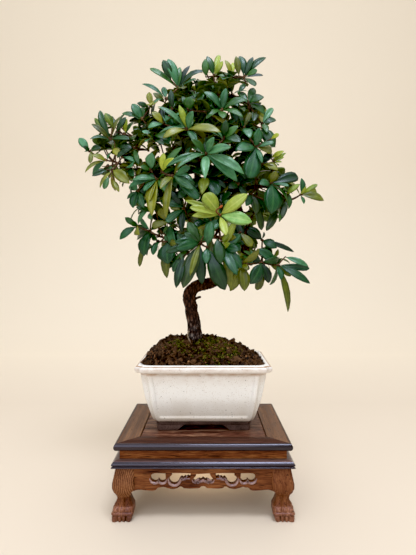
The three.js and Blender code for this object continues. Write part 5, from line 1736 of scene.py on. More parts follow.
LIMBS: dict[str, Limb] = {
    "trunk": Limb(((196, 343, -15), (193.3, 320, -14), (190.6, 305, -12), (189.6, 295.5, -10),
            (194.5, 287.5, -8), (205, 284, -6), (219, 280.5, -4), (232, 276, -2), (243, 259, 0),
            (245, 235, 2), (236, 200, 3), (228, 175, 2), (222, 140, 0), (218, 110, 0), (215, 88, -2)),
        (12.2, 11.2, 10.4, 10.8, 10.6, 9.6, 9, 8.4, 7.6, 6.8, 6, 5, 4, 3, 2)),
    "left": Limb(((229, 176, 2), (205, 170, -10), (178, 174, -14), (150, 172, -12), (131, 168.8, -10),
            (113, 161, -10)), (4.2, 3.6, 3, 2.6, 2.2, 1.8)),
    "left_upper": Limb(((222, 141, 0), (200, 136, -4), (180, 136, -2), (160, 138.4, 0),
            (148.6, 137, -2), (138, 139, -2)), (3.6, 3, 2.6, 2.2, 1.9, 1.7)),
    "left_top": Limb(((218, 112, 0), (202, 104, -4), (186, 102, -4)), (2.6, 2.2, 1.8)),
    "right": Limb(((237, 203, 3), (247, 189, 0), (263, 186.4, -4), (275, 190, -6), (283, 196, -4),
            (292, 199.4, -2)), (4, 3.2, 2.8, 2.4, 2, 1.7)),
    "right_upper": Limb(((223, 144, 0), (238, 130, -8), (250, 122, -12)), (2.8, 2.2, 1.8)),
    "lower_left": Limb(((245, 243, 2), (222, 238, -22), (198, 236, -34), (176, 240, -26),
            (160, 236.5, -18)), (4, 3.4, 2.8, 2.4, 1.8)),
    "lower_right": Limb(((243, 262, 0), (252, 263, -4), (262, 262, -6), (270, 264.5, -5)),
        (3.6, 3, 2.4, 1.8)),
    "front_upper": Limb(((227, 170, 2), (216, 160, -30), (206, 157, -60)), (4, 3.2, 2.2)),
    "front_lower": Limb(((241, 218, 3), (232, 214, -30), (224, 220, -62), (215, 236, -84)),
        (4.4, 3.6, 2.8, 2)),
    "back_upper": Limb(((224, 152, 2), (214, 140, 36), (206, 136, 66)), (3.4, 2.8, 2)),
    "back_lower": Limb(((240, 214, 3), (226, 204, 40), (214, 200, 72)), (3.8, 3, 2)),
}


def tube(maker: MeshMaker, path: Sequence[Sequence[float]], radii: Sequence[float],
         sides: int, slot: int = 0) -> None:
    """Adds a round tube along a path.

    Args:
        maker: The mesh that it goes into.
        path: The middle of the tube, in millimetres.
        radii: The radius at each place of the path.
        sides: The number of sides.
        slot: The number of the material slot.
    """
    path = [Vector(place[:3]) for place in path]
    rings = []
    side = None
    for i, place in enumerate(path):
        along = (path[min(i + 1, len(path) - 1)] - path[max(i - 1, 0)]).normalized()
        if side is None:
            side = along.orthogonal().normalized()
        side = (side - along * side.dot(along)).normalized()
        other = along.cross(side)
        rings.append([place + (side * math.cos(turn) + other * math.sin(turn)) * radii[i]
                for turn in (math.tau * k / sides for k in range(sides))])
    maker.add_loft(rings, slot)


@dataclass
class Wood:
    """The trunk and its branches, grown together, with fissured bark."""

    base: Point3 = (-14.0, -15.0, 204.0)
    flare: float = 15.5
    voxel: float = 1.15
    cut_twig: tuple[Point3, Point3] = ((192, 300, -12), (201, 296.5, -16))
    root: tuple[Point3, ...] = ((189.2, 331.0, -27.5), (187.6, 334.5, -29.5), (188.6, 338.5, -30.5),
        (190.2, 342.5, -31.0), (190.6, 346.5, -33.0), (190.0, 348.5, -35.0))
    bark: OldBark = OldBark("fissured_firethorn_bark", "#0a0605", "#2a1811", "#5f3b28", 5.0,
                            (262.0, 290.0))
    root_skin: OldBark = OldBark("bare_pale_rootlet", "#7d6a55", "#b8a68d", "#dccdb4", 2.0)

    def build(self) -> Object:
        """Builds and dresses the wood.

        Returns:
            The piece.
        """
        maker = MeshMaker()
        for name, limb in LIMBS.items():
            places = [VIEW.place(*place) for place in limb.places]
            both = curve_through([(*p, r) for p, r in zip(places, limb.radii)], 6)
            if name == "trunk":
                start = both[0]
                both = [[*self.base, self.flare],
                    [*(lerp(a, b, 0.45) for a, b in zip(self.base, start[:3])), 13.6], *both]
            tube(maker, both, [max(p[3], 0.8) for p in both], 18)
        ends = [VIEW.place(*place) for place in self.cut_twig]
        steps = [ends[0].lerp(ends[1], share) for share in (0, 0.35, 0.7, 0.97, 1.0)]
        tube(maker, steps, (3.2, 2.4, 2.1, 2.2, 1.5), 12)
        wood = maker.build("bark_wood", [self.bark.make()], sharp=180)
        melt = wood.modifiers.new("grow_together", "REMESH")
        melt.mode = "VOXEL"
        melt.voxel_size = self.voxel * MM
        melt.use_smooth_shade = True
        ease = wood.modifiers.new("ease", "SMOOTH")
        ease.factor = 0.5
        ease.iterations = 3
        wood = applied(wood)
        self.carve_bark(wood.data)
        wood.data.materials.clear()
        wood.data.materials.append(bpy.data.materials[self.bark.name])
        dress(wood, "bark", "trunk_and_branches")
        self.build_root()
        return wood

    def carve_bark(self, mesh: Mesh) -> None:
        """Moves the surface in and out: burls, long plates and fissures on thick wood.

        Args:
            mesh: The wood's mesh.
        """
        trunk = LIMBS["trunk"]
        path = [VIEW.place(*place) for place in trunk.places]
        dense = curve_through([(*p, r) for p, r in zip(path, trunk.radii)], 5)
        reach = tree_of([Vector(point[:3]) for point in dense])
        normals = [vertex.normal.copy() for vertex in mesh.vertices]
        for vertex, normal in zip(mesh.vertices, normals):
            place = vertex.co / MM
            _, index, away = reach.find(place)
            radius = dense[index][3]
            thick = smooth_step(2.0, 9.0, radius) * smooth_step(2.2 * radius, 1.3 * radius, away)
            grain = Vector((place.x, place.y, place.z * 0.38))
            plates = noise.noise(grain / 4.2)
            ridges = abs(noise.noise(grain / 2.6 + Vector((9, 0, 0))))
            burl = noise.noise(place / 13.0)
            shift = 0.12 + thick * (1.5 * burl + 0.9 * plates - 1.4 * max(0.22 - ridges, 0) / 0.22)
            shift += 0.22 * noise.noise(place / 1.8)
            vertex.co += normal * shift * MM

    def build_root(self) -> None:
        """Builds the thin pale root that runs down the foot of the trunk into the soil."""
        maker = MeshMaker()
        path = curve_through([VIEW.place(*place) for place in self.root], 5)
        radii = [lerp(0.85, 0.4, i / (len(path) - 1)) for i in range(len(path))]
        tube(maker, path, radii, 8)
        dress(maker.build("pale_rootlet", [self.root_skin.make()], sharp=180), "bark")


class K(Enum):
    """The kinds of leaf, from the dark old ones and the painted-shade ones to new growth."""

    DARK = 0
    TEAL = 1
    # Painted shade: a darker green for leaves where the crown shades them.
    DEEP = 2
    DUSKY = 3
    OLIVE = 4
    PALE = 5
    BRIGHT = 6
    LIME = 7
    MINT = 8


LEAF_SKINS: dict[K, LeafSkin] = {K.DARK: LeafSkin("dark_green_leaf", "#0b2505", "#20490f", "#42702b",
        "#5a6e18", "#477832"), K.TEAL: LeafSkin("cool_green_leaf", "#0e3014", "#20532a", "#4c875a",
        "#5e7a30", "#508546"), K.DEEP: LeafSkin("shaded_old_leaf", "#051604", "#10300a", "#274e1d",
        "#3e4f10", "#305a26"), K.DUSKY: LeafSkin("dusky_hanging_leaf", "#16260d", "#334922", "#5b7648",
        "#5c662a", "#63763e"), K.OLIVE: LeafSkin("olive_leaf", "#2f3808", "#5f6811", "#90932c", "#838c2c",
        "#909a34"), K.PALE: LeafSkin("light_green_leaf", "#163b1c", "#2d5f35", "#5f9768", "#66802f",
        "#6d9c55"), K.BRIGHT: LeafSkin("bright_new_leaf", "#3a560c", "#7d941c", "#b4c03e", "#9ea438",
        "#b0bc48"), K.LIME: LeafSkin("soft_lime_new_leaf", "#5f761c", "#92a536", "#bac860", "#a2ae48",
        "#bec868", roughness=0.42, rib_strength=0.4), K.MINT: LeafSkin("soft_mint_new_leaf", "#3e7a34",
        "#74a84f", "#a6ce7e", "#96b25e", "#b6d486", roughness=0.42, rib_strength=0.4)}


POINT_VALUES = {"turn": "FLOAT_VECTOR", "size": "FLOAT_VECTOR", "shape": "INT", "kind": "FLOAT",
                "leaf_tone": "FLOAT"}


@dataclass(frozen=True)
class Rosette:
    """A cluster of leaves: its place, its number of leaves, given tips and its size."""

    at: Point3
    leaves: int
    tips: tuple[tuple, ...] = ()
    size: float = 1.0


@dataclass(frozen=True)
class Spray:
    """A leafy shoot: the limb that it grows from, where, and its rosettes."""

    name: str
    limb: str
    at: float
    rosettes: tuple[Rosette, ...]

    @property
    def is_young(self) -> bool:
        """Tells whether it is the light young shoot in front."""
        return self.name == "young_front"


SPRAYS: tuple[Spray, ...] = (
    Spray("left_tip", "left", 5, (
        Rosette((106, 160, -16), 4, ((85, 172.5, -22, 8, K.OLIVE), (92.5, 175, -10, 12, K.TEAL),
                (92, 155, -28, 10))),
        Rosette((89, 151, -12), 3, ((79, 138, -12, 12, K.TEAL), (83, 146, -22, 7), (101, 148, -26, 10)),
            0.7))),
    Spray("left_star", "left_upper", 5, (
        Rosette((125, 134, -4), 3, ((127, 119, -6, 9, K.BRIGHT), (133, 122, 4, 9)), 0.7),
        Rosette((110, 139, -12), 7, ((100, 110.5, -12, 11), (94.5, 118, 2, 9, K.BRIGHT),
                (91.5, 124, -22, 9), (90, 139, -30, 8, K.PALE), (121, 116, -6, 9), (129, 139, -40, 9))))),
    Spray("left_under", "left", 4, (
        Rosette((113, 170, -30), 4, ((129.5, 183.5, -44, 16), (100, 188, -34, 7, K.OLIVE),
                (115.5, 191, -20, 8, K.OLIVE))),
        Rosette((122, 157, -26), 3, ((140, 163, -24, 8), (113, 149, -18, 12, K.OLIVE))))),
    Spray("left_dark", "left_upper", 4, (
        Rosette((134, 148, -20), 4, ((117, 158, -28, 14, K.DEEP), (119, 147, -14, 12, K.DEEP),
                (139, 165, -30, 9))),
        Rosette((148, 150, -6), 4))),
    Spray("left_pale", "left", 3, (
        Rosette((157, 179, -46), 7, ((132, 180, -56, 11, K.PALE), (129, 187, -46, 10, K.TEAL),
                (144, 191, -58, 10), (148, 202, -60, 12, K.OLIVE), (152, 216, -66, 16, K.OLIVE),
                (170, 194, -62, 11))),
        Rosette((151, 170, -34), 3, ((152, 152.5, -44, 17, K.PALE), (140, 166, -40, 9))),
        Rosette((138, 191, -24), 4, ((133, 208, -30, 15, K.TEAL), (127, 199, -22, 7),
                (144, 208, -36, 13))))),
    Spray("upper_left", "left_upper", 3, (
        Rosette((142, 119, -6), 4, ((122, 113.5, -8, 9), (132, 104, -8, 14, K.TEAL), (143, 106, 4, 9))),
        Rosette((151, 106, 4), 3, ((149, 92, 4, 10), (158, 100, 12, 9))))),
    Spray("crown_left", "left_top", 2, (
        Rosette((166, 99, -6), 4, ((142, 84, -6, 7), (163, 87, 6, 9), (154, 103, -26, 9))),
        Rosette((178, 88, 0), 7, ((168, 59, -4, 15, K.TEAL), (150, 68.5, -4, 9), (180, 67, 6, 9),
                (190, 65.5, 8, 9), (205, 71, -4, 10), (196, 79, -20, 9))))),
    Spray("crown_top", "trunk", 14, (
        Rosette((214, 76, -2), 3, ((207, 56, -2, 12), (219, 55, 8, 9, K.BRIGHT))),
        Rosette((232, 77, 4), 3, ((233, 62.5, 10, 7, K.BRIGHT), (225, 60, 0, 8))),
        Rosette((244, 77, -4), 6, ((240, 56, 2, 13, K.TEAL), (253, 57, -6, 10), (266, 57.5, 0, 10),
                (263, 75.5, -8, 9), (255, 86, -26, 12))))),
    Spray("front_top", "trunk", 13, (
        Rosette((222, 110, -44), 6, ((204, 92, -50, 14), (226, 88, -50, 11), (247, 100, -52, 12),
                (243, 117.5, -66, 12), (206, 119, -64, 10))),
        Rosette((188, 110, -42), 3, ((190, 96.5, -52, 17), (178, 122, -62, 10))))),
    Spray("upper_front", "front_upper", 2, (
        Rosette((187, 129, -76), 6, ((179, 105, -86, 9, K.BRIGHT), (158, 106.5, -84, 9),
                (193, 111, -92, 12), (221, 132, -100, 15), (163, 138, -90, 12))),
        Rosette((164, 124, -48), 4, ((152, 112, -54, 11), (148, 128, -58, 11))),
        Rosette((172, 109, -30), 2, ((171, 90, -34, 10),)))),
    Spray("front_star", "front_upper", 1.6, (
        Rosette((206, 154, -96), 8, ((166, 167, -112, 9, K.PALE), (177, 168, -126, 9, K.PALE),
                (191, 139, -112, 10), (214, 137, -112, 11, K.PALE), (231, 147, -116, 13, K.PALE),
                (244, 174, -112, 14, K.PALE), (237, 181, -98, 15, K.TEAL), (205, 179, -130, 12))),
        Rosette((224, 138, -72), 4, ((241, 142, -88, 14, K.DEEP), (226, 120, -86, 12),
                (238, 126, -80, 12))))),
    Spray("left_front_star", "left", 1.7, (
        Rosette((173, 176, -84), 6, ((194, 190, -104, 13, K.PALE), (199, 199, -96, 14, K.TEAL),
                (160, 189, -106, 10), (166, 218, -92, 11), (190, 168, -108, 12))),
        Rosette((162, 172, -70), 4, ((174, 158, -88, 10, K.BRIGHT), (164, 153, -78, 11, K.BRIGHT),
                (182, 147, -78, 11))))),
    Spray("right_crown", "right_upper", 2, (
        Rosette((248, 103, -20), 5, ((264, 97, -24, 17), (265, 115, -20, 13), (254, 88, -8, 12),
                (238, 92, -6, 12))),
        Rosette((262, 124, -16), 4, ((267, 133, -34, 10), (276, 120, -12, 11), (273, 108, -2, 10))))),
    Spray("right_middle", "right_upper", 1, (
        Rosette((256, 147, -46), 7, ((249, 178, -66, 24, K.TEAL), (274, 142, -52, 10, K.PALE),
                (272, 152, -42, 14), (236, 150, -72, 18), (259, 128, -60, 13), (262, 163, -64, 9))),
        Rosette((244, 128, -44), 2, ((250, 138, -66, 14),)))),
    Spray("right_young", "right", 2.4, (
        Rosette((274, 162, -4), 7, ((286, 153, -6, 5, K.BRIGHT), (284, 157, 4, 5, K.BRIGHT),
                (280, 151, -14, 5, K.BRIGHT), (282, 162, -8, 5, K.BRIGHT)), 0.45),
        Rosette((262, 164, -14), 2, ((278, 170, -20, 15, K.OLIVE),)))),
    Spray("right_branch", "right", 3, (
        Rosette((271, 183, -26), 6, ((271, 213.6, -36, 30, K.TEAL), (298, 177, -14, 17, K.DEEP),
                (276, 171, -40, 15, K.OLIVE), (289, 186, -40, 8), (259, 184, -42, 13))),
        Rosette((288, 192, -10), 3, ((288.5, 209, -14, 7), (296, 188, -22, 8)), 0.7))),
    Spray("right_tip", "right", 5, (
        Rosette((301, 194.5, 0), 7, ((317.5, 184.5, -8, 7, K.BRIGHT), (301.5, 178, 4, 11, K.TEAL),
                (324, 200.5, 6, 15, K.OLIVE), (316, 190, 14, 13, K.OLIVE), (304, 204, -4, 7),
                (306, 186, -14, 6, K.BRIGHT))),)),
    Spray("right_hanging", "right", 1.6, (
        Rosette((251, 194, -20), 4, ((256, 214, -28, 16, K.DUSKY), (261.5, 230, -22, 15, K.DUSKY),
                (246, 206, -38, 12))),
        Rosette((276, 203, -8), 4, ((266.5, 231, -14, 14, K.DUSKY), (285, 206, -2, 10),
                (270, 222, 4, 14))))),
    Spray("young_front", "front_lower", 2, (
        Rosette((220, 215, -106), 7, ((204, 194, -118, 20, K.LIME), (185, 200.5, -104, 8, K.LIME), (190,
                207.5, -122, 10, K.LIME), (192, 216, -112, 10, K.LIME), (247.5, 194, -118, 17, K.LIME),
                (252, 222, -116, 18, K.MINT), (226, 235, -128, 10, K.LIME))),)),
    Spray("middle_front", "front_lower", 1, (
        Rosette((206, 176, -56), 5, ((218, 195, -74, 17), (202, 194, -76, 15, K.LIME),
                (221, 172, -78, 15), (226, 188, -66, 10))),
        Rosette((238, 184, -46), 3, ((228, 188, -62, 13), (246, 200, -52, 10))))),
    Spray("left_inner", "lower_left", 2, (
        Rosette((184, 208, -50), 4, ((170, 190, -56, 10), (182, 232, -60, 11), (166, 222, -58, 12))),
        Rosette((170, 222, -36), 3, ((152, 226, -34, 12), (159, 209, -36, 14))))),
    Spray("lower_front", "front_lower", 3, (
        Rosette((200, 243, -100), 8, ((175, 242, -112, 12), (176, 249, -122, 13),
                (184, 233, -106, 10), (183, 288, -108, 20, K.DUSKY), (190, 276, -120, 8, K.OLIVE),
                (202, 284, -94, 15, K.DEEP), (188, 222, -100, 15), (166, 252, -110, 9))),
        Rosette((207, 247, -100), 4, ((206, 264, -110, 12, K.TEAL), (225, 290, -98, 22, K.DEEP),
                (211, 221, -108, 14, K.TEAL))))),
    Spray("lower_front_right", "front_lower", 2.6, (
        Rosette((223, 247, -98), 7, ((239, 250, -112, 13, K.TEAL), (242, 268, -108, 15, K.TEAL), (237,
                275, -116, 15, K.TEAL), (236, 219, -112, 10, K.LIME), (230, 243, -118, 8, K.BRIGHT),
                (231, 290, -92, 12, K.OLIVE))),
        Rosette((240, 232, -76), 2, ((252, 246, -82, 12),)))),
    Spray("lower_left_tip", "lower_left", 4, (
        Rosette((150, 231, -16), 4, ((144, 256, -22, 21, K.TEAL), (139.5, 266.5, -10, 8, K.OLIVE),
                (160, 222, -22, 12))),
        Rosette((137, 226, -10), 5, ((119.6, 239.5, -12, 13, K.TEAL), (125, 217.5, -8, 9),
                (129, 222, -22, 8), (149, 208.5, -24, 8, K.PALE))))),
    Spray("lower_left", "lower_left", 3, (
        Rosette((168, 241, -44), 4, ((168, 264, -52, 28, K.TEAL), (167, 278, -38, 14, K.OLIVE),
                (176, 244, -60, 9))),
        Rosette((158, 241, -22), 3, ((153, 255, -26, 11), (156, 248, -32, 6)), 0.8))),
    Spray("lower_right_upper", "lower_right", 2, (
        Rosette((262, 240, -6), 6, ((248, 227, -10, 12), (247, 231, -22, 12, K.DEEP),
                (277, 248, -12, 15, K.TEAL), (294, 252, -4, 7), (264, 232, 4, 4, K.DUSKY))),)),
    Spray("lower_right_tip", "lower_right", 3, (
        Rosette((278, 265, -4), 7, ((309.3, 268.5, -6, 10, K.TEAL), (310, 283.5, -12, 12, K.TEAL),
                (288, 312, -2, 14, K.OLIVE), (291, 276, 4, 12, K.OLIVE), (281, 280, -18, 12, K.TEAL),
                (257, 249, -14, 15, K.TEAL))),)),
    Spray("lower_right", "lower_right", 1.4, (
        Rosette((262, 262, -30), 5, ((250, 284, -40, 22, K.TEAL), (269, 283, -26, 14, K.DEEP),
                (257, 290, -18, 13, K.OLIVE), (248, 256, -40, 12))),
        Rosette((242, 264, -36), 4, ((244.5, 291, -42, 17, K.OLIVE), (230, 291, -36, 13, K.OLIVE),
                (248, 270, -50, 9))))),
    Spray("back_top", "trunk", 12.6, (
        Rosette((205, 104, 46), 5),
        Rosette((232, 94, 46), 4, ((250, 92, 56, 12),)),
        Rosette((183, 100, 40), 4),
        Rosette((256, 108, 40), 4))),
    Spray("back_left_upper", "left_upper", 2, (
        Rosette((170, 122, 54), 5),
        Rosette((146, 140, 44), 5),
        Rosette((188, 140, 92), 5))),
    Spray("back_upper", "back_upper", 2, (
        Rosette((212, 118, 92), 5),
        Rosette((222, 146, 102), 5),
        Rosette((248, 132, 84), 5),
        Rosette((194, 164, 102), 5))),
    Spray("back_left", "left", 2.2, (
        Rosette((168, 180, 56), 5),
        Rosette((150, 192, 36), 4),
        Rosette((176, 156, 74), 4))),
    Spray("back_middle", "back_lower", 2, (
        Rosette((208, 192, 102), 5),
        Rosette((236, 184, 96), 5),
        Rosette((196, 222, 90), 5),
        Rosette((228, 218, 94), 5))),
    Spray("back_right", "back_lower", 1, (
        Rosette((258, 176, 66), 5),
        Rosette((256, 206, 60), 5),
        Rosette((244, 238, 64), 5))),
)


@dataclass(frozen=True)
class Leaf:
    """One leaf in space, in millimetres."""

    root: Vector
    tip: Vector
    face: Vector
    width: float
    kind: K
    tone: float
    is_given: bool = False

    def at(self, share: float) -> Vector:
        """Gives the place at a share of the way from its root to its tip."""
        return self.root.lerp(self.tip, share)


@dataclass
class LeafShape:
    """The blade that all leaves share: stations along it and their half widths."""

    stations: tuple[float, ...] = (0.0, 0.09, 0.22, 0.4, 0.6, 0.78, 0.92, 1.0)
    pointed: tuple[float, ...] = (0.04, 0.09, 0.3, 0.46, 0.5, 0.39, 0.19, 0.01)
    blunt: tuple[float, ...] = (0.04, 0.06, 0.22, 0.4, 0.5, 0.5, 0.37, 0.09)
    thickness: float = 0.011

    def build(self, number: int) -> Object:
        """Builds one variant, a metre long and a metre wide, rooted at the origin.

        Args:
            number: The number of the variant, which sets its curl, fold and outline.

        Returns:
            The variant. It grows along Y and its upper side looks along Z.
        """
        seed = 300 + 17 * number
        arch = 0.3 + 0.1 * (number % 4)
        fold = 0.05 + 0.16 * draw(seed)
        curl = 0.16 * (draw(seed, 2) - 0.5)
        sway = 0.22 * (draw(seed, 3) - 0.5)
        blunt = 1.0 if number % 4 == 0 else 0.3 * draw(seed, 4)
        rings, places = [], []
        for station, (share, fine, broad) in enumerate(zip(self.stations, self.pointed, self.blunt)):
            half = lerp(fine, broad, blunt)
            wave = 1 + 0.05 * (draw(seed + station, 5) - 0.5)
            rib_height = arch * share * (1 - share)
            twist = curl * share
            across = []
            for part, under in ((-1, 0), (-0.5, 0), (0, 0), (0.5, 0), (1, 0), (0.5, 1), (0, 1), (-0.5, 1)):
                x = part * half * wave
                lift = fold * abs(part) ** 1.4 * half - 0.05 * abs(part) ** 3 * half
                z = rib_height + lift + twist * x - under * self.thickness
                x += sway * share * (1 - share)
                across.append((x, share, z))
                places.append((0.5 + 0.5 * part, share))
            rings.append(across)
        maker = MeshMaker()
        maker.add_loft([[tuple(c / MM for c in point) for point in ring] for ring in rings])
        leaf = maker.build(f"leaf_shape_{number}", [], sharp=180, outward=False)
        mesh = leaf.data
        under = mesh.attributes.new("leaf_under", "FLOAT", "FACE")
        layer = mesh.uv_layers.new(name="leaf_map")
        for polygon in mesh.polygons:
            columns = {vertex % 8 for vertex in polygon.vertices}
            is_under = bool(columns & {5, 6, 7})
            under.data[polygon.index].value = 1.0 if is_under else 0.0
            for loop in polygon.loop_indices:
                layer.data[loop].uv = places[mesh.loops[loop].vertex_index]
        return leaf


@dataclass
class Crown:
    """The leafy shoots, with the leaves of the solids and further ones among them."""

    core: Vector = field(default_factory=lambda: Vector((10, 0, 470)))
    back_from: float = 25.0
    front_lean: float = -0.5
    back_lean: float = 0.3
    rise: float = 0.35
    leaf_length: float = 40.0
    leaf_width: float = 14.0
    root_heights: Point2 = (0.8, -2.2)
    root_radius: float = 1.5
    tries: int = 12
    shapes: int = 12
    breadth: float = 1.12
    extra_leaves: int = 6
    shoot_step: float = 5.0
    limb_step: float = 6.5
    reach_of_extras: float = 24.0
    fill_tries: int = 8000
    fill_gap: float = 17.0
    fill_leaves: int = 7
    fill_size: float = 0.95
    fill_depths: Point2 = (-60.0, 85.0)
    fill_least: int = 3
    outline: tuple[Point2, ...] = ((168, 57), (179, 66), (190, 66), (196, 70), (205, 67), (204, 57),
        (215, 55), (222, 60), (232, 58), (238, 54), (244, 62), (256, 56), (266, 57), (262, 68), (266, 76),
        (258, 83), (257, 90), (263, 98), (266, 108), (271, 116), (272, 126), (278, 134), (278, 146),
        (285, 150), (287, 157), (284, 164), (292, 170), (299, 177), (306, 186), (318, 184), (325, 197),
        (322, 203), (312, 204), (302, 204), (290, 209), (285, 209), (281, 222), (270, 232), (265, 229),
        (258, 226), (252, 230), (264, 235), (279, 248), (294, 252), (292, 257), (310, 268), (307, 276),
        (311, 284), (300, 283), (292, 286), (292, 300), (289, 313), (284, 306), (281, 283), (270, 286),
        (260, 291), (246, 292), (232, 292), (222, 290), (218, 282), (206, 285), (198, 277), (190, 289),
        (180, 286), (176, 273), (168, 281), (165, 267), (156, 261), (152, 255), (146, 259), (140, 267),
        (137, 260), (139, 246), (136, 236), (126, 236), (120, 240), (119, 234), (128, 226), (124, 219),
        (131, 214), (136, 208), (128, 204), (126, 196), (122, 190), (114, 192), (110, 186), (100, 190),
        (100, 184), (108, 177), (96, 178), (84, 174), (86, 168), (93, 164), (82, 150), (78, 138),
        (90, 136), (90, 122), (94, 118), (100, 110), (112, 118), (122, 112), (132, 104), (137, 101),
        (146, 108), (148, 92), (158, 97), (142, 84), (158, 87), (166, 80), (150, 68), (164, 70), (162, 61))
    open_places: tuple[Point3, ...] = ((148, 146, 4), (147, 155, 5), (157, 113, 2.5), (173, 92, 3),
        (131, 132, 3), (112, 160, 3), (240, 153, 2.5), (239, 206, 3.5), (254, 203, 3.5), (262, 223, 4),
        (163, 236, 3.5), (179, 226, 2.5), (163, 154, 3), (196, 90, 2), (270, 240, 3))
    thin_places: tuple[Point3, ...] = ((217, 246, -30), (214, 256, 0), (178, 266, -24), (183, 196, -40),
        (237, 68, 6), (206, 72, 6), (158, 101, 6), (265, 137, 0), (245, 156, 10), (118, 124, 0),
        (291, 260, 2), (271, 226, 0), (186, 204, -10), (231, 262, -20))
    edge_leaves: tuple[tuple[float, float, float, float, float, K], ...] = ((184,
            256, 176, 288, 13, K.DARK), (217, 238, 221, 264, 16, K.DEEP), (171, 80, 163, 60, 14, K.DARK),
        (239, 76, 236, 56, 10, K.OLIVE), (206, 77, 205, 59, 11, K.DARK), (215, 75, 223, 61, 9, K.BRIGHT),
        (113, 128, 105, 113, 11, K.BRIGHT), (116, 132, 126, 117, 9, K.DARK), (261, 128, 275, 147,
            18, K.DARK), (271, 158, 284, 151, 7, K.BRIGHT), (287, 200, 281, 220, 10, K.DUSKY), (278, 212,
            266, 230, 10, K.DUSKY), (285, 257, 308, 266, 9, K.TEAL), (152, 212, 136, 207, 9, K.DARK), (165,
            103, 153, 93, 9, K.OLIVE), (149, 107, 137, 103, 8, K.DARK), (285, 195, 300, 184, 9, K.BRIGHT),
        (109, 176, 104, 189, 8, K.DARK), (113, 180, 119, 192, 7, K.OLIVE), (107, 170, 92, 176, 8, K.DARK),
        (246, 84, 239, 92, 8, K.DARK), (188, 190, 178, 198, 12, K.DEEP), (180, 258, 173, 272, 11, K.DARK),
        (92, 150, 90, 163, 7, K.OLIVE), (203, 237, 200, 229, 5, K.BRIGHT), (222, 243, 229, 234, 6,
            K.BRIGHT), (246, 76, 257, 70, 8, K.DARK), (271, 139, 279, 134, 6, K.BRIGHT))
    young_shoot: tuple[Point3, ...] = ((216, 211, -112), (220.5, 207, -116))
    twig_bark: OldBark = OldBark("brown_twig_bark", "#1c120c", "#4a3222", "#8a6a48", 1.6)
    new_bark: OldBark = OldBark("reddish_new_twig", "#3a2014", "#7a4a30", "#a87850", 1.4)
    bud_skin: OldBark = OldBark("orange_red_bud", "#7a3414", "#b8552a", "#d88a50", 1.4)

    def axis_at(self, hub: Vector) -> Vector:
        """Gives the way that a rosette faces: out of the crown and somewhat up.

        Args:
            hub: The rosette's place.

        Returns:
            The way, of length 1.
        """
        out = (hub - self.core).normalized()
        lean = self.front_lean if hub.y < self.back_from else self.back_lean
        return (out + Vector((0, lean, self.rise))).normalized()

    def free_tip(self, rosette: Rosette, hub: Vector, seed: int, number: int,
                 attempt: int) -> tuple[Vector, float]:
        """Gives the tip and width of a leaf that is spread by the rule of the solids.

        Args:
            rosette: The leaf's rosette.
            hub: The rosette's place.
            seed: The leaf's seed.
            number: The leaf's number in its rosette.
            attempt: Which try of the solids' rule this is.

        Returns:
            The tip and the width.
        """
        axis = self.axis_at(hub)
        first = axis.cross(UP).normalized()
        second = axis.cross(first).normalized()
        share = (number + 0.5) / rosette.leaves
        start = math.tau * draw(7000 + 31 * math.floor(hub.x + 0.5))
        swing = 0.5 * (draw(seed) - 0.5) + 0.42 * side_step(attempt)
        azimuth = GOLDEN_ANGLE * number + start + swing
        spread = 0.25 + 1.15 * share + 0.4 * draw(seed, 2) + 0.12 * (attempt % 3)
        length = self.leaf_length * rosette.size * lerp(0.66, 1, share)
        length *= 0.84 + 0.32 * draw(seed, 3)
        reach = length * (1 - 0.03 * attempt)
        tip = hub + axis * (lerp(*self.root_heights, share) + reach * math.cos(spread))
        tip += first * reach * math.sin(spread) * math.cos(azimuth)
        tip += second * reach * math.sin(spread) * math.sin(azimuth)
        tip.z -= 0.14 * length * share
        return tip, self.leaf_width * rosette.size * (0.82 + 0.4 * draw(seed, 4))

    def kind_of(self, seed: int, hub: Vector) -> K:
        """Draws the kind of a leaf, with darker ones inside the crown as painted shade.

        Args:
            seed: The leaf's seed.
            hub: Where it grows.

        Returns:
            The kind.
        """
        chance = draw(seed, 6)
        # Painted shade: deeper inside the crown, dark and shaded leaves are drawn more often.
        inside = smooth_step(120, 60, (hub - self.core).length)
        if chance < 0.25 + 0.3 * inside:
            return K.DEEP if draw(seed, 7) < 0.35 + 0.4 * inside else K.DARK
        rest = ((0.5, K.DARK), (0.7, K.TEAL), (0.9, K.OLIVE), (1.0, K.PALE))
        return next(kind for limit, kind in rest if chance <= limit)

    def pose(self, rosette: Rosette, hub: Vector, seed: int, number: int, attempt: int = 0) -> Leaf:
        """Gives one try at a leaf, by the rule of the solids.

        Args:
            rosette: The leaf's rosette.
            hub: The rosette's place.
            seed: The leaf's seed.
            number: The leaf's number in its rosette.
            attempt: Which try it is.

        Returns:
            The leaf.
        """
        axis = self.axis_at(hub)
        given = rosette.tips[number] if number < len(rosette.tips) else None
        if given:
            column, row, depth, width = given[:4]
            tip = VIEW.place(column, row, depth + 5 * side_step(attempt))
        else:
            tip, width = self.free_tip(rosette, hub, seed, number, attempt)
        out = tip - hub
        root = hub + axis * lerp(*self.root_heights, (number + 0.5) / rosette.leaves)
        root += (out - axis * out.dot(axis)).normalized() * self.root_radius
        face = axis + UP * 0.25
        if given:
            face += (Vector(VIEW.eye) - hub).normalized() * 0.9
        kind = given[4] if given and len(given) > 4 else self.kind_of(seed, hub)
        return Leaf(root, tip, face, width, kind, draw(seed, 8), bool(given))

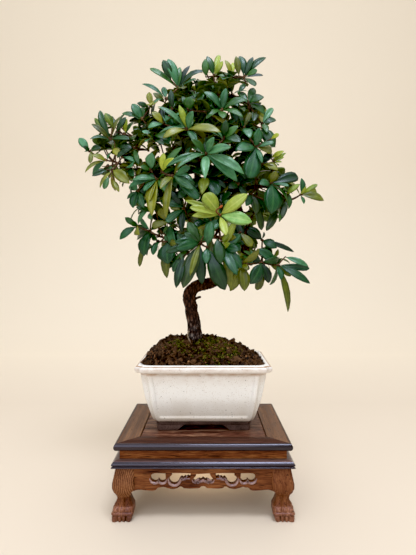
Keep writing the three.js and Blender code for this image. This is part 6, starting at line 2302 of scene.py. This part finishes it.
    def solid_leaves(self, spray: Spray, number: int) -> list[Leaf]:
        """Gives the leaves that a spray's solid has, each at the try that the solid kept.

        Args:
            spray: The spray.
            number: Its number.

        Returns:
            The leaves, but for free ones that reach past the crown's outline.
        """
        node = frame["nodes"][f"spray_{spray.name}"]
        solid = tree_of([node.matrix_world @ vertex.co / MM for vertex in node.data.vertices])
        leaves = []
        for place, rosette in enumerate(spray.rosettes):
            hub = VIEW.place(*rosette.at)
            for leaf in range(rosette.leaves):
                seed = 9001 + 400 * number + 40 * place + leaf
                poses = (self.pose(rosette, hub, seed, leaf, attempt) for attempt in range(self.tries))
                leaves += [next((pose for pose in poses if solid.find(pose.tip)[2] < 0.1), None)]
        return [leaf for leaf in leaves if leaf and (
            leaf.is_given or not any(self.is_open(leaf.at(share)) for share in (0.6, 0.8, 1.0)))]

    def is_open(self, place: Vector) -> bool:
        """Tells whether light shows past or through the crown at a place in the view.

        Args:
            place: The place.

        Returns:
            Whether it shows there.
        """
        column, row = VIEW.pixel(place)
        if any(math.hypot(column - x, row - y) < reach for x, y, reach in self.open_places):
            return True
        is_inside = False
        for (x, y), (next_x, next_y) in zip(self.outline, self.outline[1:] + self.outline[:1]):
            if (y > row) != (next_y > row):
                cross = x + (row - y) * (next_x - x) / (next_y - y)
                is_inside ^= column < cross
        return not is_inside

    def keeps_shape(self, leaf: Leaf) -> bool:
        """Tells whether a further leaf may stay.

        It has to be near the leaves of the solids, to leave open what is open in the
        reference view, and not to hide a leaf of the solids there.

        Args:
            leaf: The leaf.

        Returns:
            Whether it may.
        """
        if self.around.find(leaf.tip)[2] > self.reach_of_extras:
            return False
        if any(self.is_open(leaf.at(share)) for share in (0.3, 0.5, 0.7, 0.9, 1.0, 1.12)):
            return False
        for share in (0.2, 0.4, 0.6, 0.8, 1.0):
            place = leaf.at(share)
            off = np.array(VIEW.pixel(place)) - self.seen_roots
            along = np.clip((off * self.seen_spans).sum(1) / (self.seen_spans ** 2).sum(1), 0, 1)
            away = np.hypot(*(off - along[:, None] * self.seen_spans).T)
            if ((away < self.seen_reach) & (place.y < self.seen_depths + 3)).any():
                return False
        return True

    def note_solids(self, leaves: Sequence[Leaf]) -> None:
        """Notes where the leaves of the solids lie, in space and in the reference view.

        Args:
            leaves: The leaves.
        """
        self.around = tree_of([leaf.at(share) for leaf in leaves for share in (0.4, 0.75, 1.0)])
        self.seen_roots = np.array([VIEW.pixel(leaf.root) for leaf in leaves])
        self.seen_spans = np.array([VIEW.pixel(leaf.tip) for leaf in leaves]) - self.seen_roots
        self.seen_reach = np.array([0.27 * leaf.width + 2.0 for leaf in leaves])
        self.seen_depths = np.array([leaf.at(0.5).y if leaf.is_given else -999.0 for leaf in leaves])

    def further_leaves(self, spray: Spray, number: int, shoots: Sequence[Sequence[Vector]]) -> list[Leaf]:
        """Gives smaller leaves in the rosettes and along the shoots.

        Args:
            spray: The spray.
            number: Its number.
            shoots: The paths of its twigs.

        Returns:
            The leaves.
        """
        leaves = []
        for place, rosette in enumerate(() if spray.is_young else spray.rosettes):
            fuller = Rosette(rosette.at, rosette.leaves + self.extra_leaves, size=rosette.size * 0.8)
            poses = [self.pose(fuller, VIEW.place(*rosette.at), 90001 + 400 * number + 40 * place + leaf,
                    leaf) for leaf in range(fuller.leaves)]
            leaves += [pose for pose in poses if self.keeps_shape(pose)]
        for shoot, path in enumerate(shoots):
            length = sum((b - a).length for a, b in zip(path, path[1:]))
            count = max(int(length / self.shoot_step), 2)
            for step in range(1, count):
                seed = 50001 + 900 * number + 60 * shoot + step
                leaves += self.shoot_leaf(path, (step + 0.3 * draw(seed)) / count, seed)
        return leaves

    def side_shoots(self, number: int, limb: Limb, first: float) -> list[list[Vector]]:
        """Gives the short side shoots that a limb carries inside the crown.

        Args:
            number: The limb's number.
            limb: The limb.
            first: Where along its points the shoots begin.

        Returns:
            Their paths, from the middle of the limb outwards.
        """
        span = len(limb.places) - 1 - first
        length = sum((limb.at(first + span * (i + 1) / 12) - limb.at(first + span * i / 12)).length
            for i in range(12))
        count = int(length / self.limb_step)
        paths = []
        for step in range(count + 1):
            seed = 4001 + 700 * number + step
            where = first + span * (step + 0.6 * draw(seed)) / (count + 1)
            start = limb.at(where)
            along = (limb.at(where + 0.05) - start).normalized()
            side = Matrix.Rotation(GOLDEN_ANGLE * step, 3, along) @ along.orthogonal()
            way = (side.normalized() + along * 0.4 + UP * 0.3).normalized()
            reach = 15 + 26 * draw(seed, 2)
            bend = Vector((draw(seed, 3) - 0.5, draw(seed, 4) - 0.5, 0.5)) * 0.35
            paths.append([start + (way + bend * share) * reach * share
                          for share in (0, 0.2, 0.4, 0.6, 0.8, 1.0)])
        return paths

    def build_inner_leaves(self) -> None:
        """Builds the leafy side shoots along the limbs, inside the crown."""
        for number, (name, limb) in enumerate(LIMBS.items()):
            maker = MeshMaker()
            leaves = []
            for shoot, path in enumerate(self.side_shoots(number, limb, first_shoot(name))):
                if self.is_open(path[-1]):
                    continue
                own = []
                for step, share in enumerate((0.3, 0.45, 0.6, 0.74, 0.86, 0.95, 1.0)):
                    seed = 70001 + 3000 * number + 20 * shoot + step
                    own += self.shoot_leaf(path, share, seed)
                if own:
                    leaves += own
                    tube(maker, path, (1.3, 1.15, 1.0, 0.9, 0.8, 0.5), 6)
            if leaves:
                self.grow(f"inner_leaves_{name}", leaves, maker, [self.bark])

    def fill_hubs(self, wood: Sequence[Vector]) -> list[Vector]:
        """Finds places for further rosettes where the crown is thin.

        Args:
            wood: Places along the limbs.

        Returns:
            The places.
        """
        columns, rows = zip(*self.outline)
        hubs = [VIEW.place(*place) for place in self.thin_places]
        taken = [*hubs, *(VIEW.place(*rosette.at) for spray in SPRAYS for rosette in spray.rosettes)]
        for number in range(self.fill_tries):
            column, row, depth = (draw(140001 + 3 * number, k) for k in (1, 2, 3))
            hub = VIEW.place(lerp(min(columns), max(columns), column),
                             lerp(min(rows), max(rows), row), lerp(*self.fill_depths, depth))
            if any(self.is_open(hub + Vector((across, 0, up)))
                   for across, up in ((0, 0), (11, 0), (-11, 0), (0, 11), (0, -9))):
                continue
            if self.around.find(hub)[2] > self.reach_of_extras:
                continue
            if min((hub - other).length for other in taken) < self.fill_gap:
                continue
            if 7 < min((hub - place).length for place in wood) < 62:
                taken.append(hub)
                hubs.append(hub)
        return hubs

    def build_filling(self) -> None:
        """Builds the further rosettes, each on a twig from the nearest limb."""
        wood = [limb.at(lerp(first_shoot(name), len(limb.places) - 1, step / 30))
                for name, limb in LIMBS.items() for step in range(31)]
        leaves: list[Leaf] = []
        maker = MeshMaker()
        for number, hub in enumerate(self.fill_hubs(wood)):
            seed = 160001 + 40 * number
            rosette = Rosette((0, 0, 0), self.fill_leaves,
                              size=self.fill_size * (0.8 + 0.4 * draw(seed, 9)))
            poses = [self.pose(rosette, hub, seed + leaf, leaf) for leaf in range(rosette.leaves)]
            own = [pose for pose in poses if self.keeps_shape(pose)]
            if len(own) < self.fill_least:
                continue
            leaves += own
            start = min(wood, key=lambda place: (place - hub).length)
            middle = start.lerp(hub, 0.55) - UP * 0.08 * (hub - start).length
            path = curve_through([start, middle, hub], 4)
            tube(maker, path, [lerp(1.5, 0.9, i / 8) for i in range(9)], 6)
        leaves += self.add_edge_leaves(maker)
        self.grow("inner_rosettes", leaves, maker, [self.bark])

    def add_edge_leaves(self, maker: MeshMaker) -> list[Leaf]:
        """Gives the leaves that complete the crown's outline, and adds their twigs.

        Args:
            maker: The mesh that the twigs go into.

        Returns:
            The leaves.
        """
        hubs = [rosette.at for spray in SPRAYS for rosette in spray.rosettes]
        leaves = []
        for column, row, tip_column, tip_row, width, kind in self.edge_leaves:
            near = min(hubs, key=lambda at: math.hypot(at[0] - column, at[1] - row))
            root = VIEW.place(column, row, near[2] - 4)
            tip = VIEW.place(tip_column, tip_row, near[2] - 12)
            face = (Vector(VIEW.eye) - root).normalized() + UP * 0.3
            leaves.append(Leaf(root, tip, face, width, kind, draw(int(7 * column + row))))
            beyond = root + (tip - root).normalized() * 2
            path = curve_through([VIEW.place(*near), root, beyond], 3)
            tube(maker, path, (1.3, 1.2, 1.1, 1.0, 0.9, 0.8, 0.6), 6)
        return leaves

    def shoot_leaf(self, path: Sequence[Vector], share: float, seed: int) -> list[Leaf]:
        """Gives a leaf that grows from the side of a twig.

        Args:
            path: The twig's path.
            share: How far along it the leaf grows, from 0 to 1.
            seed: The leaf's seed.

        Returns:
            The leaf, or nothing if there is no room for it.
        """
        at = min(share * (len(path) - 1), len(path) - 1.001)
        low = int(at)
        root = path[low].lerp(path[low + 1], at - low)
        along = (path[low + 1] - path[low]).normalized()
        side = along.orthogonal().normalized()
        turn = Matrix.Rotation(GOLDEN_ANGLE * seed, 3, along) @ side
        length = 20 + 15 * draw(seed, 2)
        tip = root + (turn + along * 0.55 + UP * 0.25).normalized() * length
        tip.z -= 0.16 * length
        face = UP * 0.65 + (root - self.core).normalized() * 0.9 + along * 0.2
        leaf = Leaf(root + (tip - root).normalized(), tip, face, length * (0.36 + 0.16 * draw(seed, 3)),
            self.kind_of(seed, root), draw(seed, 8))
        return [leaf] if self.keeps_shape(leaf) else []

    def shoot_paths(self, spray: Spray) -> list[list[Vector]]:
        """Gives the gently bent paths of a spray's twigs, from the limb to each rosette.

        Args:
            spray: The spray.

        Returns:
            The paths.
        """
        hubs = [VIEW.place(*rosette.at) for rosette in spray.rosettes]
        paths = []
        for number, hub in enumerate(hubs):
            if number == 0:
                start = LIMBS[spray.limb].at(spray.at)
            else:
                start = min(hubs[:number], key=lambda other: (other - hub).length)
            span = hub - start
            length = max(span.length, 0.1)
            side = span.cross(UP)
            side = side.normalized() if side.length > 0.01 else Vector((1, 0, 0))
            bend = 0.07 * length * (2 * draw(77 + number, 2) - 1)
            middle = start.lerp(hub, 0.5) + side * bend - UP * 0.04 * length
            path = [Vector(p) for p in curve_through([start, middle, hub], max(int(length / 4), 3))]
            for i in range(1, len(path) - 1):
                place = path[i].copy()
                path[i] += Vector([noise.noise(place / size) for size in (9, 7, 8)]) * 0.6
            paths.append(path)
        return paths

    def twigs_of(self, spray: Spray, paths: Sequence[Sequence[Vector]]) -> MeshMaker:
        """Gives a spray's twigs with a knobbly bud in each rosette.

        Args:
            spray: The spray.
            paths: The paths of its twigs.

        Returns:
            Their mesh. The young front shoot ends in a bud in the second slot.
        """
        maker = MeshMaker()
        for path in paths:
            last = len(path) - 1
            radii = [lerp(1.75, 1.05, i / last) * (1 + 0.12 * (i % 2)) for i in range(last + 1)]
            tube(maker, path, radii, 8)
        for rosette in spray.rosettes:
            hub = VIEW.place(*rosette.at)
            axis = self.axis_at(hub)
            path = [hub + axis * up for up in (-3.0, -1.6, -0.2, 1.0, 2.4, 3.6, 4.2)]
            size = 0.75 + 0.25 * rosette.size
            tube(maker, path, [size * r for r in (0.9, 2.0, 2.3, 1.8, 1.6, 0.9, 0.2)], 9)
        if spray.is_young:
            hub = VIEW.place(*spray.rosettes[0].at)
            ends = [VIEW.place(*place) for place in self.young_shoot]
            path = curve_through([hub, *ends], 3)
            tube(maker, path, [lerp(1.3, 0.9, i / (len(path) - 1)) for i in range(len(path))], 8)
            way = (ends[-1] - ends[-2]).normalized()
            tube(maker, [ends[-1] + way * out for out in (-1.6, -0.6, 0.8, 2.2, 3.4, 4.0)],
                 (0.8, 1.4, 1.6, 1.4, 0.8, 0.2), 9, slot=1)
        return maker

    def point_cloud(self, name: str, leaves: Sequence[Leaf]) -> Object:
        """Makes one vertex for each leaf, with the leaf's turn, size, shape and kind.

        Args:
            name: The name of the object.
            leaves: The leaves.

        Returns:
            The object.
        """
        mesh = bpy.data.meshes.new(name)
        mesh.from_pydata([tuple(leaf.root * MM) for leaf in leaves], [], [])
        values: dict[str, list[float]] = {label: [] for label in POINT_VALUES}
        for i, leaf in enumerate(leaves):
            along = leaf.tip - leaf.root
            length = along.length
            along.normalize()
            face = (leaf.face - along * leaf.face.dot(along)).normalized()
            side = along.cross(face).normalized()
            turn = Matrix((side, along, side.cross(along))).transposed().to_euler()
            values["turn"] += turn[:]
            values["size"] += [self.breadth * leaf.width * MM, length * MM, length * MM]
            values["shape"].append(int(draw(int(leaf.tip.x * 7) + 31 * i + 5) * self.shapes))
            values["kind"].append(float(leaf.kind.value))
            values["leaf_tone"].append(leaf.tone)
        for label, kind in POINT_VALUES.items():
            data = mesh.attributes.new(label, kind, "POINT").data
            data.foreach_set("vector" if kind == "FLOAT_VECTOR" else "value", values[label])
        return placed(name, mesh)

    def grow(self, name: str, leaves: Sequence[Leaf], wood: MeshMaker,
             bark: Sequence[Material], slot: str = "leaf", *nodes: str) -> None:
        """Puts a leaf on each point with geometry nodes, joins the twigs, and dresses both.

        Args:
            name: The name of the piece.
            leaves: The leaves.
            wood: The twigs.
            bark: The finishes of the twigs.
            slot: The record's slot.
            nodes: The solids that the piece replaces.
        """
        self.total += len(leaves)
        twigs = wood.build(f"{name}_twigs", bark, sharp=60)
        weave = Weave(f"{name}_leaves", {"Shapes": ("NodeSocketCollection", self.leaf_shapes),
                "Twigs": ("NodeSocketObject", twigs)})
        add, source = weave.add, weave.source
        turn, size, shape, kinds = (add("GeometryNodeInputNamedAttribute", {"Name": label},
                data_type=POINT_VALUES[label]) for label in ("turn", "size", "shape", "kind"))
        points = add("GeometryNodeMeshToPoints", {0: source["Geometry"]})
        choice = add("GeometryNodeCollectionInfo", {
            "Collection": source["Shapes"], "Separate Children": True, "Reset Children": True})
        strewn = add("GeometryNodeInstanceOnPoints",
            {"Points": points, "Instance": choice, "Pick Instance": True, "Instance Index": shape,
                "Scale": size, "Rotation": add("FunctionNodeEulerToRotation", {0: turn})})
        geometry = add("GeometryNodeRealizeInstances", {0: strewn})
        for kind, skin in self.skins.items():
            is_kind = add("FunctionNodeCompare", {"A": kinds, "B": float(kind.value), "Epsilon": 0.4},
                data_type="FLOAT", operation="EQUAL")
            geometry = add("GeometryNodeSetMaterial", {
                "Geometry": geometry, "Selection": is_kind, "Material": skin})
        twig = add("GeometryNodeObjectInfo", {"Object": source["Twigs"]}, "Geometry")
        both = add("GeometryNodeJoinGeometry", {0: twig})
        weave.tree.links.new(geometry, both.node.inputs[0])
        piece = weave.use_on(self.point_cloud(name, leaves), both)
        bpy.data.objects.remove(twigs)
        dress(piece, slot, *nodes)

    def build(self) -> None:
        """Builds and dresses all sprays, and the leaves and rosettes between them."""
        self.skins = {kind: skin.make() for kind, skin in LEAF_SKINS.items()}
        self.bark, new_bark, bud = (skin.make() for skin in (self.twig_bark, self.new_bark, self.bud_skin))
        self.leaf_shapes = hidden_collection("leaf_shapes", [
            LeafShape().build(i) for i in range(self.shapes)])
        self.total = 0
        grown = [self.solid_leaves(spray, number) for number, spray in enumerate(SPRAYS)]
        self.note_solids([leaf for leaves in grown for leaf in leaves])
        for number, (spray, leaves) in enumerate(zip(SPRAYS, grown)):
            paths = self.shoot_paths(spray)
            leaves = leaves + self.further_leaves(spray, number, paths)
            bark = [new_bark, bud] if spray.is_young else [self.bark]
            self.grow(f"leafy_{spray.name}", leaves, self.twigs_of(spray, paths), bark,
                      "young_leaf" if spray.is_young else "leaf", f"spray_{spray.name}")
        self.build_inner_leaves()
        self.build_filling()
        discard(self.leaf_shapes)
        LOG.info("%d leaves, %d of them on the solids", self.total, len(self.seen_roots))


def first_shoot(limb: str) -> float:
    """Gives where along a limb's points its leaves begin."""
    return 8.5 if limb == "trunk" else 0.5


def tree_of(places: Sequence[Vector]) -> kdtree.KDTree:
    """Gives a tree that finds the nearest of some places.

    Args:
        places: The places.

    Returns:
        The tree, with the places numbered in order.
    """
    tree = kdtree.KDTree(len(places))
    for number, place in enumerate(places):
        tree.insert(place, number)
    tree.balance()
    return tree


def side_step(attempt: int) -> int:
    """Gives steps of 0, −1, 1, −2, 2 and so on from one try to the next."""
    return (1 if attempt % 2 == 0 else -1) * math.ceil(attempt / 2)


def main() -> None:
    """Builds the scene in order."""
    logging.basicConfig(level=logging.INFO, format="%(name)s: %(message)s")
    pot = Pot()
    for part in (Studio(), Stand()):
        part.build()
        LOG.info("%s is built", type(part).__name__)
    pot.build()
    Soil().build(pot)
    Wood().build()
    Crown().build()


if __name__ == "__main__":
    main()
